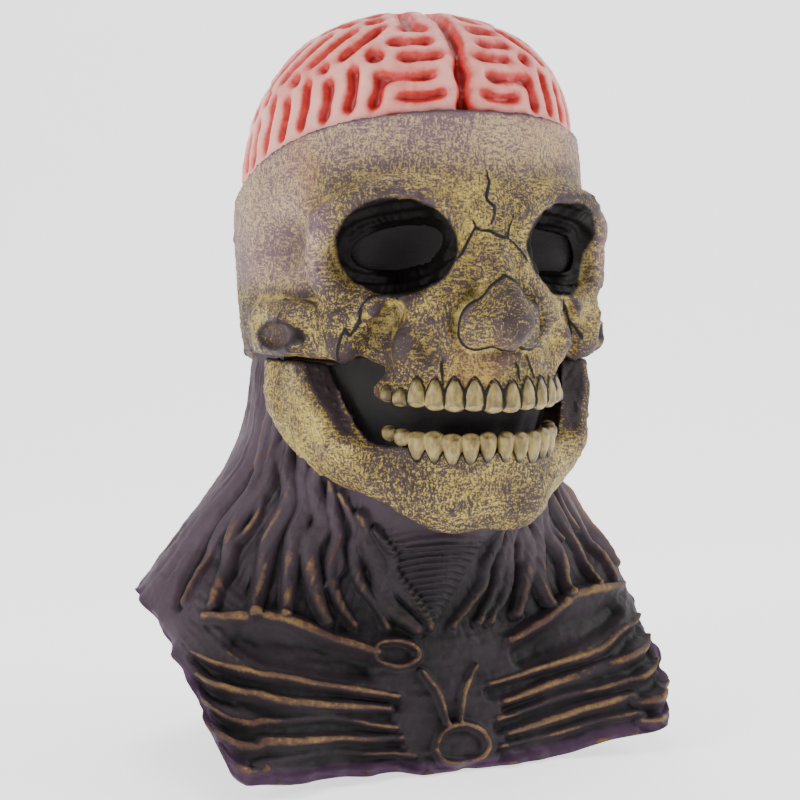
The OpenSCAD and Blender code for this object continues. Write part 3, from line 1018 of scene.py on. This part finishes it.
def sleeve_mark(points, radius, knots):
    """Nearness of each point to a line drawn on the sleeve: 1 on it, 0 at radius, less at the line's ends."""
    s, r = curve_points(knots, 5).T
    path = sleeve(s, r)
    low, high = path.min(0) - radius - 4, path.max(0) + radius + 4
    chosen = np.nonzero(((points > low) & (points < high)).all(1))[0]
    gap, along = distance_to_path(points[chosen], path)
    local = radius * (0.5 + 0.5 * np.sqrt(np.sin(np.pi * np.clip(along, 0.03, 0.97))))
    nearness = np.zeros(len(points))
    nearness[chosen] = np.clip(1 - gap / local, 0, 1)
    return nearness


def neck_grid():
    front = [56, 58, 64, 44, 28, 24, 22]
    columns = uneven(front[::-1] + front, -SIDE)
    rows = np.append(uneven([14, 32, 36, 46, 38]), HEM)
    return columns, rows


def build_neck(material):
    columns, rows = neck_grid()
    n, m = len(columns), len(rows)
    s, r = (a.ravel() for a in np.meshgrid(columns, rows, indexing="ij"))
    base = sleeve(s, r)
    index = np.arange(n * m).reshape(n, m)
    ahead = np.roll(index, -1, axis=0)
    faces = np.stack([index[:, :-1], ahead[:, :-1], ahead[:, 1:], index[:, 1:]], -1).reshape(-1, 4)
    normal = normals_of(base, faces)
    edges = edges_of(faces)

    shown = smooth_step(0.5, 1.2, r)
    throat = smooth_step(1.0, 1.5, r) * (1 - smooth_step(3.1, 3.4, r))
    throat = throat * (1 - smooth_step(3.2, 3.7, np.abs(s)))
    height = -3.0 * throat
    for radius, deep, knots in sleeve_hollows():
        height -= deep * smooth_step(0, 0.8, sleeve_mark(base, radius * 1.5, knots))
    # the windpipe's rings
    half = np.clip(PIPE_WIDE - PIPE_TAPER * (r - CORD_TOP), 0.1, PIPE_WIDE)
    off = np.abs(s - 0.15) / half
    pipe = (1 - smooth_step(0.75, 1.0, off)) * (1 - smooth_step(2.95, 3.15, r))
    rings = np.sin(2 * np.pi * (base[:, 2] + 5 * off ** 2 + 0.5 * lattice_noise(base, 9, 91)) / 3.5)
    height = height + pipe * (3.2 * (1 - off ** 2) + 0.75 * rings)
    floor = height.copy()
    for radius, tall, knots in neck_cords():
        near = sleeve_mark(base, radius * 1.25, knots)
        height = soft_max(height, floor + tall * np.sqrt(near * (2 - near)) - 0.4, 0.8)
    bone = np.zeros(len(base))
    for radius, tall, knots in chest_bones():
        near = sleeve_mark(base, radius * 1.35, knots)
        bone = soft_max(bone, tall * smooth_step(0, 0.9, near), 1.0)
    height = height + 0.85 * bone
    down = 1 - smooth_step(3.0, 3.4, r) * (np.abs(s) < 3)
    fibre = (down * lattice_noise(np.column_stack([s * 58, r * 5, 0 * s]), 2.6, 101)
             + (1 - down) * lattice_noise(np.column_stack([s * 7, r * 38, 0 * s]), 2.6, 102))
    rough = 0.6 * fractal(base, 13, 103) + 0.22 * fractal(base, 3, 107, 2)
    height = shown * (height + 0.55 * fibre * (1 - 0.7 * pipe) + rough)

    # the cut hem: uneven, with small waves where the edge curls
    hem = smooth_step(4.0, 5.0, r)
    around = np.column_stack([s * 50, 0 * s, 0 * s])
    rise = 3.5 + 4.5 * lattice_noise(around, 40, 113) + 1.2 * lattice_noise(around, 14, 111)
    curls = np.exp(-((s + 0.05) / 0.16) ** 2) + np.exp(-((s + 1.1) / 0.18) ** 2)
    edge_wave = 2.0 * np.sin(s * 9) + 1.4 * np.sin(s * 23 + 1)
    height = height + smooth_step(4.6, 5.0, r) * (edge_wave - 3.0 * curls)
    lifted = base + np.column_stack([0 * s, 0 * s, hem * np.maximum(rise, 0.3)])
    outer = lifted + normal * height[:, None]
    outer[:, 2] = np.maximum(outer[:, 2], 0.4)
    calm = smoothed(height[:, None], edges, 40)[:, 0]
    inner = lifted + normal * (np.minimum(calm, height) - WALL + 0.3)[:, None]
    inner[:, 2] = np.maximum(inner[:, 2], 0.4)

    points = np.vstack([outer, inner])
    rim = [np.stack([index[:, 0], index[:, 0] + n * m, ahead[:, 0] + n * m, ahead[:, 0]], -1),
           np.stack([index[:, -1], ahead[:, -1], ahead[:, -1] + n * m, index[:, -1] + n * m], -1)]
    faces_all = np.vstack([faces, faces[:, ::-1] + n * m, *rim])
    relief = relief_of(outer, faces, edges, 45)
    # painted shade under the chin, added to the cavity layer, which holds painted shade in the creases
    # between the cords and bones
    under_chin_shade = 0.42 * (1 - smooth_step(0.9, 2.2, np.abs(s - 0.1))) * (1 - smooth_step(3.0, 3.3, r))
    layers = {
        "cavity": np.maximum(smooth_step(0.3, 2.6, -relief), under_chin_shade) * shown,
        "ridge": smooth_step(0.15, 2.0, relief) * shown,
        "fibre": 0.5 + 0.5 * fibre,
        "upper": 1 - smooth_step(1.8, 3.6, r),
        "side": smooth_step(2.4, 3.6, np.abs(s)),
        "hem": smooth_step(4.72, 4.86, r + 0.05 * lattice_noise(base, 18, 121)),
    }
    layers = {name: np.append(values, np.zeros(n * m)) for name, values in layers.items()}
    layers["inside"] = np.append(np.zeros(n * m), np.ones(n * m))
    piece = add_mesh("neck_bib_cast", points, faces_all, "mask", material, ["neck_bib"], layers)
    thin_inside(piece, layers["inside"], 0.15)


# ---------------------------------------------------------------- cloth and foam

LINING_LOW = [[0, -72.5, 166], [-24, -66, 166], [-42, -48, 166], [-54, -32, 166], [-62, -12, 166]]
LINING_HIGH = [[0, -94, 212], [-31, -78, 212], [-54, -55, 213], [-64, -36, 208], [-66, -14, 202]]
LINING_T = 0.9
EYE_MESH = (54, 35, 0.8)        # width, height, thickness
NET_BEHIND = 0.8        # how far the net stands behind the eye hole
PAD_T = 8.0
PAD_GAP = 0.6
CROWN_PAD_DROP, CROWN_PAD_CURVE = 17.0, 7.0      # below the crown in the middle, and further down at the edge


def slab_faces(n, m):
    index = np.arange(n * m).reshape(n, m)
    return np.stack([index[:-1, :-1], index[1:, :-1], index[1:, 1:], index[:-1, 1:]], -1).reshape(-1, 4)


def slab(front, back):
    """A closed piece between two grids of points."""
    n, m = front.shape[:2]
    index = np.arange(n * m).reshape(n, m)
    top = slab_faces(n, m)
    ring = np.concatenate([index[0, :-1], index[:-1, -1], index[-1, :0:-1], index[:0:-1, 0]])
    ahead = np.roll(ring, -1)
    sides = np.stack([ring, ahead, ahead + n * m, ring + n * m], -1)
    faces = np.vstack([top, top[:, ::-1] + n * m, sides])
    points = np.vstack([front.reshape(-1, 3), back.reshape(-1, 3)])
    a, b, c, d = (points[faces[:, i]] for i in range(4))
    volume = (a * np.cross(b, c)).sum() + (a * np.cross(c, d)).sum()
    return points, faces if volume > 0 else faces[:, ::-1]


def unit_grid(n, m):
    return np.meshgrid(np.linspace(-1, 1, n), np.linspace(-1, 1, m), indexing="ij")


def disc_grid(n):
    """A square grid rounded into a disc of radius 1."""
    u, v = unit_grid(n, n)
    return u * np.sqrt(1 - v * v / 2), v * np.sqrt(1 - u * u / 2)


def build_lining(material):
    """Black cloth behind the teeth, glued along its top edge, with the small folds of slack cloth below."""
    low, high = (curve_points(half, 16) for half in (LINING_LOW, LINING_HIGH))
    low, high = (np.vstack([half[:0:-1] * [-1, 1, 1], half]) for half in (low, high))
    t = np.linspace(0, 1, 44)[None, :, None]
    front = low[:, None] + (high - low)[:, None] * t
    inward = -front * [1, 1, 0] / np.linalg.norm(front * [1, 1, 0], axis=2)[..., None]
    across = np.linspace(-1, 1, len(low))[:, None]
    slack = np.sin(np.pi * np.clip(t[..., 0] * 0.85 + 0.12, 0, 1))
    noise = lattice_noise(front.reshape(-1, 3), 16, 131).reshape(front.shape[:2])
    fold = 1.3 * np.sin(across * 31 + 2.0 * noise) * slack * (0.5 + 0.5 * (1 - t[..., 0]))
    fold = fold + 0.8 * noise * slack
    front = front + inward * (fold + 1.2)[..., None]
    back = front + inward * LINING_T
    points, faces = slab(front, back)
    piece = add_mesh("mouth_lining_cloth", points, faces, "mask", material, ["mouth_lining"])


def build_eye_mesh(side, name, node, skull, material):
    """Black see-through mesh, stretched over the back of an eye hole. side is -1 on the mask's right."""
    width, height, thick = EYE_MESH
    centre = np.mean(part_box(node), axis=0) / MM
    u, v = disc_grid(33)
    turn = math.radians(EYE_TURN)
    across = np.array([math.cos(turn), side * math.sin(turn), 0])
    facing = np.array([side * math.sin(turn), -math.cos(turn), 0])
    front = centre + u[..., None] * across * width / 2 + v[..., None] * np.array([0, 0, height / 2])
    front = front.reshape(-1, 3)
    for _ in range(12):
        front = front - (skull.sample(front) + WALL + 0.3)[:, None] * facing * 0.7
    push = smoothed((front - centre) @ facing, edges_of(slab_faces(*u.shape)), 60) - NET_BEHIND
    front += (push - (front - centre) @ facing)[:, None] * facing
    front = front.reshape(*u.shape, 3)
    points, faces = slab(front, front - facing * thick)
    piece = add_mesh(name, points, faces, "mask", material, [node])


def foam_skin(points, seed):
    """Foam isn't quite flat: a small unevenness along each axis."""
    return points + 0.25 * np.column_stack([fractal(points, 7, seed + i, 2) for i in range(3)])


def crowned(u, v):
    """Thickness of a pad with rounded edges, as a share of its full thickness."""
    return 0.12 + 0.88 * ((1 - u ** 8) * (1 - v ** 8)) ** 0.4


def build_wall_pad(node, low_angle, high_angle, low, high, material):
    """A pad glued to the skull's inside, between two turns from the middle of the face and two heights."""
    u, v = unit_grid(44, 26)
    angle = np.radians((low_angle + high_angle) / 2 + u * (high_angle - low_angle) / 2)
    z = (low + high) / 2 + v * (high - low) / 2
    layers = []
    for t in (WALL + PAD_GAP, WALL + PAD_GAP + PAD_T * crowned(u, v)):
        half_w, half_d = skull_half(z)
        layers.append(np.stack([(t - half_w) * np.sin(angle), HEAD_Y - (half_d - t) * np.cos(angle), z], -1))
    points, faces = slab(*layers)
    piece = add_mesh(node + "_foam", foam_skin(points, 141), faces, "mask", material, [node])


def build_crown_pad(material):
    u, v = disc_grid(41)
    low, high = (np.array(corner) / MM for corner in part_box("crown_pad"))
    centre, reach = (low + high) / 2, (high - low) / 2
    ring = np.minimum(u * u + v * v, 1)
    edge = 0.5 * PAD_T * (1 - ring ** 6) ** 0.4
    middle = CROWN_Z - CROWN_PAD_DROP - CROWN_PAD_CURVE * ring
    flat = np.stack([centre[0] + u * reach[0], centre[1] + v * reach[1], middle], -1)
    front, back = flat.copy(), flat.copy()
    front[..., 2] += edge
    back[..., 2] -= edge + 0.2
    points, faces = slab(front, back)
    piece = add_mesh("crown_pad_foam", foam_skin(points, 151), faces, "mask", material, ["crown_pad"])


def build_chin_pad(material):
    u, v = unit_grid(44, 22)
    low, high = (np.array(corner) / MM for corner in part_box("chin_pad"))
    x = u * high[0] * 0.92
    bend = (x / high[0]) ** 2
    middle = low[1] + 5 + 11.5 * bend
    half = 5.0 * (1 - 0.35 * bend) * crowned(u, v)
    z = (low[2] + high[2]) / 2 + v * (high[2] - low[2]) / 2
    points, faces = slab(np.stack([x, middle - half, z], -1), np.stack([x, middle + half, z], -1))
    piece = add_mesh("chin_pad_foam", foam_skin(points, 161), faces, "jaw", material, ["chin_pad"])


def build_soft_parts(skull):
    cloth = cloth_paint()
    foam = foam_paint()
    build_lining(cloth)
    build_eye_mesh(-1, "eye_mesh_right_cloth", "eye_mesh_right", skull, cloth)
    build_eye_mesh(1, "eye_mesh_left_cloth", "eye_mesh_left", skull, cloth)
    build_wall_pad("forehead_pad", -34, 34, 296, 318, foam)
    build_wall_pad("nape_pad", 150, 210, 226, 258, foam)
    build_wall_pad("temple_pad_right", 80, 112, 242, 270, foam)
    build_wall_pad("temple_pad_left", -112, -80, 242, 270, foam)
    build_crown_pad(foam)
    build_chin_pad(foam)


def dress_hinges():
    """The hinge parts stay as the frame has them, and get their materials."""
    steel = steel_paint()
    plate = plastic_paint("plate_paint", rgb(52, 50, 50))
    washer = plastic_paint("washer_paint", rgb(206, 202, 190))
    paints = {"hinge_pin": steel, "hinge_plate": plate, "hinge_washer": washer, "jaw_tab": plate}
    for side in ("right", "left"):
        for part, material in paints.items():
            slots = bpy.data.objects[f"{part}_{side}"].data.materials
            slots.clear()
            slots.append(material)


# ---------------------------------------------------------------- paints

class Paint:
    """A material's nodes, made with short calls."""

    def __init__(self, name, roughness=0.6):
        self.material = bpy.data.materials.new(name)
        self.material.use_nodes = True
        self.tree = self.material.node_tree
        self.shader = self.tree.nodes["Principled BSDF"]
        self.shader.inputs["Roughness"].default_value = roughness
        self.place = self.node("ShaderNodeTexCoord").outputs["Object"]

    def node(self, kind, **values):
        made = self.tree.nodes.new(kind)
        for key, value in values.items():
            setattr(made, key, value)
        return made

    def link(self, source, socket):
        if isinstance(source, (int, float, tuple)):
            socket.default_value = source if not isinstance(source, tuple) else (*source, 1.0)[:4]
        else:
            self.tree.links.new(source, socket)

    def noise(self, size, detail=4.0, rough=0.55, stretch=None, turn=(0, 0, 0)):
        """Noise whose features are about size millimetres across, longer where stretch is under 1."""
        place = self.place
        if stretch:
            mapping = self.node("ShaderNodeMapping")
            mapping.inputs["Scale"].default_value = stretch
            mapping.inputs["Rotation"].default_value = turn
            self.link(place, mapping.inputs["Vector"])
            place = mapping.outputs["Vector"]
        made = self.node("ShaderNodeTexNoise")
        made.inputs["Scale"].default_value = 1000.0 / size / 2
        made.inputs["Detail"].default_value = detail
        made.inputs["Roughness"].default_value = rough
        self.link(place, made.inputs["Vector"])
        return made.outputs["Fac"]

    def bands(self, pitch, axis):
        """Stripes pitch millimetres apart across an axis, 0 to 1."""
        made = self.node("ShaderNodeTexWave", bands_direction=axis)
        made.inputs["Scale"].default_value = 2 * math.pi / (20 * pitch * MM)
        self.link(self.place, made.inputs["Vector"])
        return made.outputs["Fac"]

    def layer(self, name):
        return self.node("ShaderNodeAttribute", attribute_name=name).outputs["Fac"]

    def math(self, operation, a, b=0.0):
        made = self.node("ShaderNodeMath", operation=operation)
        self.link(a, made.inputs[0])
        self.link(b, made.inputs[1])
        return made.outputs[0]

    def times(self, a, b):
        return self.math("MULTIPLY", a, b)

    def plus(self, a, b):
        return self.math("ADD", a, b)

    def swing(self, value, amount):
        """amount times how far a value of 0 to 1 is above its middle."""
        return self.times(self.math("SUBTRACT", value, 0.5), amount)

    def mix(self, factor, a, b):
        made = self.node("ShaderNodeMix", data_type="RGBA")
        self.link(factor, made.inputs["Factor"])
        self.link(a, made.inputs[6])
        self.link(b, made.inputs[7])
        return made.outputs[2]

    def mix_value(self, factor, a, b):
        made = self.node("ShaderNodeMix", data_type="FLOAT")
        self.link(factor, made.inputs[0])
        self.link(a, made.inputs[2])
        self.link(b, made.inputs[3])
        return made.outputs[0]

    def step(self, value, low, high):
        made = self.node("ShaderNodeMapRange", interpolation_type="SMOOTHSTEP")
        self.link(value, made.inputs["Value"])
        made.inputs["From Min"].default_value = low
        made.inputs["From Max"].default_value = high
        return made.outputs["Result"]

    def finish(self, colour, bumps=(), roughness=None):
        self.link(colour, self.shader.inputs["Base Color"])
        if roughness is not None:
            self.link(roughness, self.shader.inputs["Roughness"])
        normal = None
        for height, distance in bumps:
            bump = self.node("ShaderNodeBump")
            bump.inputs["Distance"].default_value = distance * MM
            self.link(height, bump.inputs["Height"])
            if normal is not None:
                self.link(normal, bump.inputs["Normal"])
            normal = bump.outputs["Normal"]
        if normal is not None:
            self.link(normal, self.shader.inputs["Normal"])
        return self.material


def rgb(r, g, b):
    """A linear colour from 0 to 255 sRGB values."""
    def linear(c):
        c /= 255
        return c / 12.92 if c <= 0.04045 else ((c + 0.055) / 1.055) ** 2.4
    return linear(r), linear(g), linear(b)


def bone_paint():
    p = Paint("bone_paint", 0.6)
    stipple = p.noise(0.5, 3, 0.65)
    along = p.noise(0.55, 3, 0.6, (0.32, 0.32, 1.0), (0.3, 0.5, 0))
    across = p.noise(0.55, 3, 0.6, (1.0, 1.0, 0.32), (0.2, -0.5, 0))
    patches = p.noise(24, 3, 0.55)
    place = p.node("ShaderNodeSeparateXYZ")
    p.link(p.place, place.inputs[0])
    side = p.times(p.step(p.math("ABSOLUTE", place.outputs["X"]), 0.068, 0.082),
                  p.step(place.outputs["Z"], 0.240, 0.256))
    smooth = p.math("MAXIMUM", p.step(place.outputs["Z"], 0.290, 0.322), side)
    cavity, ridge, hollow = p.layer("cavity"), p.layer("ridge"), p.layer("hollow")
    strokes = p.mix_value(p.step(p.noise(5, 2), 0.44, 0.56), along, across)
    dry = p.plus(p.times(stipple, 0.5), p.times(strokes, 0.5))
    dry = p.plus(dry, p.swing(patches, 0.24))
    dry = p.plus(dry, p.times(ridge, 0.22))
    dry = p.math("SUBTRACT", dry, p.times(hollow, 0.07))
    dry = p.math("SUBTRACT", dry, p.times(cavity, 0.2))
    base = p.mix(p.step(patches, 0.35, 0.65), rgb(58, 43, 45), rgb(80, 63, 70))
    base = p.mix(smooth, base, rgb(110, 86, 94))
    yellow = p.mix(p.step(p.noise(12, 3), 0.4, 0.65), rgb(150, 128, 48), rgb(174, 152, 66))
    yellow = p.mix(smooth, yellow, rgb(176, 150, 112))
    colour = p.mix(p.times(p.step(dry, 0.46, 0.55), 0.92), base, yellow)
    colour = p.mix(p.times(p.step(dry, 0.56, 0.66), 0.75), colour, rgb(212, 192, 126))
    warm = p.step(p.noise(40, 2, 0.5, (1.3, 1.0, 0.8)), 0.6, 0.74)
    colour = p.mix(p.times(warm, 0.25), colour, rgb(160, 104, 66))
    # painted shade in the broad hollows
    colour = p.mix(p.times(hollow, 0.4), colour, rgb(58, 42, 40))
    # near-black in creases and crevices: the mask's dark crevice paint, deepened with painted shade
    colour = p.mix(p.times(p.step(cavity, 0.15, 0.95), 0.8), colour, rgb(34, 24, 26))
    # near-black lines: the cracks, the nose's outline and the gum line, and painted shade round the jaw
    # joint's pit
    colour = p.mix(p.step(p.layer("dark_line"), 0.25, 0.7), colour, rgb(10, 6, 7))
    edge = p.plus(p.layer("socket"), p.swing(stipple, 0.6))
    socket = p.step(edge, 0.25, 0.75)
    # black paint in the eye sockets, darker still in the creases of the folds, where the cavity layer adds
    # painted shade
    colour = p.mix(socket, colour, p.mix(cavity, rgb(15, 11, 11), rgb(5, 4, 4)))
    colour = p.mix(p.layer("inside"), colour, p.mix(patches, rgb(84, 68, 60), rgb(108, 88, 78)))
    rough = p.plus(0.54, p.times(stipple, 0.2))
    rough = p.math("SUBTRACT", rough, p.times(socket, 0.12))
    p.link(p.mix_value(socket, 0.32, 0.1), p.shader.inputs["Specular IOR Level"])
    return p.finish(colour, [(stipple, 0.22), (strokes, 0.15)], rough)


def tooth_paint():
    p = Paint("tooth_paint", 0.45)
    fine = p.noise(2.2, 4, 0.6, (1.4, 1.4, 0.7))
    colour = p.mix(p.step(fine, 0.35, 0.65), rgb(116, 98, 54), rgb(160, 140, 84))
    colour = p.mix(p.times(p.step(p.layer("ridge"), 0.3, 1.0), 0.5), colour, rgb(184, 162, 92))
    colour = p.mix(p.times(p.step(p.layer("cavity"), 0.15, 0.8), 0.9), colour, rgb(30, 19, 14))
    return p.finish(colour, [(fine, 0.2)])


def brain_paint():
    p = Paint("brain_paint", 0.5)
    fine = p.noise(2.0, 4, 0.6)
    patches = p.noise(22, 3, 0.5)
    groove, crest, height = p.layer("groove"), p.layer("crest"), p.layer("height")
    pale = p.mix(p.step(patches, 0.35, 0.7), rgb(240, 166, 152), rgb(228, 132, 120))
    salmon = p.mix(p.step(fine, 0.3, 0.7), rgb(206, 62, 52), rgb(180, 38, 34))
    redder = p.plus(p.times(groove, 1.1), p.times(height, 0.55))
    redder = p.plus(redder, p.swing(patches, 0.6))
    redder = p.plus(redder, p.times(p.math("SUBTRACT", 0.5, crest), 0.5))
    redder = p.plus(redder, p.swing(fine, 0.45))
    colour = p.mix(p.step(redder, -0.12, 0.72), pale, salmon)
    colour = p.mix(p.step(groove, 0.5, 0.95), colour, rgb(146, 18, 18))
    colour = p.mix(p.layer("inside"), colour, rgb(206, 160, 146))
    return p.finish(colour, [(fine, 0.2)])


def neck_paint():
    p = Paint("neck_paint", 0.6)
    fine = p.noise(1.5, 5, 0.68)
    patches = p.noise(24, 3, 0.5)
    cavity, ridge, fibre, upper = p.layer("cavity"), p.layer("ridge"), p.layer("fibre"), p.layer("upper")
    base = p.mix(p.step(patches, 0.3, 0.7), rgb(24, 17, 21), rgb(42, 32, 38))
    lighter = p.mix(p.step(patches, 0.3, 0.7), rgb(70, 54, 64), rgb(94, 78, 90))
    base = p.mix(p.math("MAXIMUM", p.times(upper, 0.45), p.times(p.layer("side"), 0.9)), base, lighter)
    dry = p.plus(p.times(ridge, 0.62), p.times(fine, 0.8))
    dry = p.plus(dry, p.swing(patches, 0.35))
    dry = p.plus(dry, p.swing(fibre, 0.28))
    rust = p.mix(p.step(patches, 0.4, 0.6), rgb(96, 60, 42), rgb(126, 94, 56))
    colour = p.mix(p.times(p.step(dry, 0.66, 0.98), 0.5), base, rust)
    colour = p.mix(p.times(p.step(dry, 0.98, 1.2), 0.7), colour, rgb(136, 106, 64))
    # painted shade: near-black in the creases and under the chin
    colour = p.mix(p.times(p.step(cavity, 0.03, 0.6), 0.95), colour, rgb(6, 4, 5))
    colour = p.mix(p.times(p.layer("hem"), p.step(ridge, 0.8, 0.3)), colour, rgb(66, 42, 66))
    colour = p.mix(p.layer("inside"), colour, rgb(64, 55, 58))
    rough = p.plus(0.5, p.times(fine, 0.22))
    p.shader.inputs["Specular IOR Level"].default_value = 0.3
    return p.finish(colour, [(fine, 0.3), (p.noise(0.7, 3, 0.6), 0.12)], rough)


def cloth_paint():
    """Black net: threads 0.9 mm apart, with darker holes between them."""
    p = Paint("cloth_paint", 0.85)
    warp, weft = (p.bands(0.9, axis) for axis in ("X", "Z"))
    thread = p.math("MAXIMUM", warp, weft)
    colour = p.mix(p.step(thread, 0.4, 0.8), rgb(12, 9, 10), rgb(34, 27, 28))
    colour = p.mix(p.times(p.noise(9, 3), 0.3), colour, rgb(20, 15, 17))
    return p.finish(colour, [(thread, 0.15)])


def foam_paint():
    p = Paint("foam_paint", 0.95)
    cells = p.noise(0.9, 3, 0.7)
    colour = p.mix(p.step(cells, 0.35, 0.6), rgb(66, 64, 66), rgb(118, 116, 118))
    colour = p.mix(p.times(p.noise(14, 2), 0.35), colour, rgb(96, 90, 84))
    return p.finish(colour, [(cells, 0.4)])


def steel_paint():
    p = Paint("steel_paint", 0.32)
    p.shader.inputs["Metallic"].default_value = 1.0
    brushed = p.noise(0.4, 3, 0.6, (8.0, 0.3, 0.3))
    colour = p.mix(brushed, rgb(168, 168, 172), rgb(206, 206, 208))
    return p.finish(colour, [(brushed, 0.03)], p.plus(0.24, p.times(brushed, 0.2)))


def plastic_paint(name, tone):
    """Moulded sheet plastic with a fine grain and a few scuffs."""
    p = Paint(name, 0.5)
    grain = p.noise(0.5, 3, 0.6)
    scuffs = p.step(p.noise(6, 4, 0.7, (1.0, 0.4, 1.0)), 0.58, 0.72)
    light = tuple(min(1.0, c * 1.6 + 0.02) for c in tone)
    colour = p.mix(p.times(scuffs, 0.5), tone, light)
    return p.finish(colour, [(grain, 0.05)], p.plus(0.42, p.times(grain, 0.2)))


# ---------------------------------------------------------------- the mask

add_camera()
add_studio()
bone = bone_paint()
enamel = tooth_paint()
upper = model_teeth(UPPER_ARCH, UPPER_SIZES, 187.5, 0.11, -1, ([-54, -108, 180], [0, -52, 214]))
lower = model_teeth(LOWER_ARCH, LOWER_SIZES, 177.5, 0.06, 1, ([-52, -104, 154], [0, -46, 184]))
skull_form = build_skull(upper, bone)
build_teeth(upper, "upper_teeth_cast", "mask", "upper_teeth", enamel)
build_jaw(lower, bone)
build_teeth(lower, "lower_teeth_cast", "jaw", "lower_teeth", enamel)
build_brain(brain_paint())
build_neck(neck_paint())
build_soft_parts(skull_form)
dress_hinges()
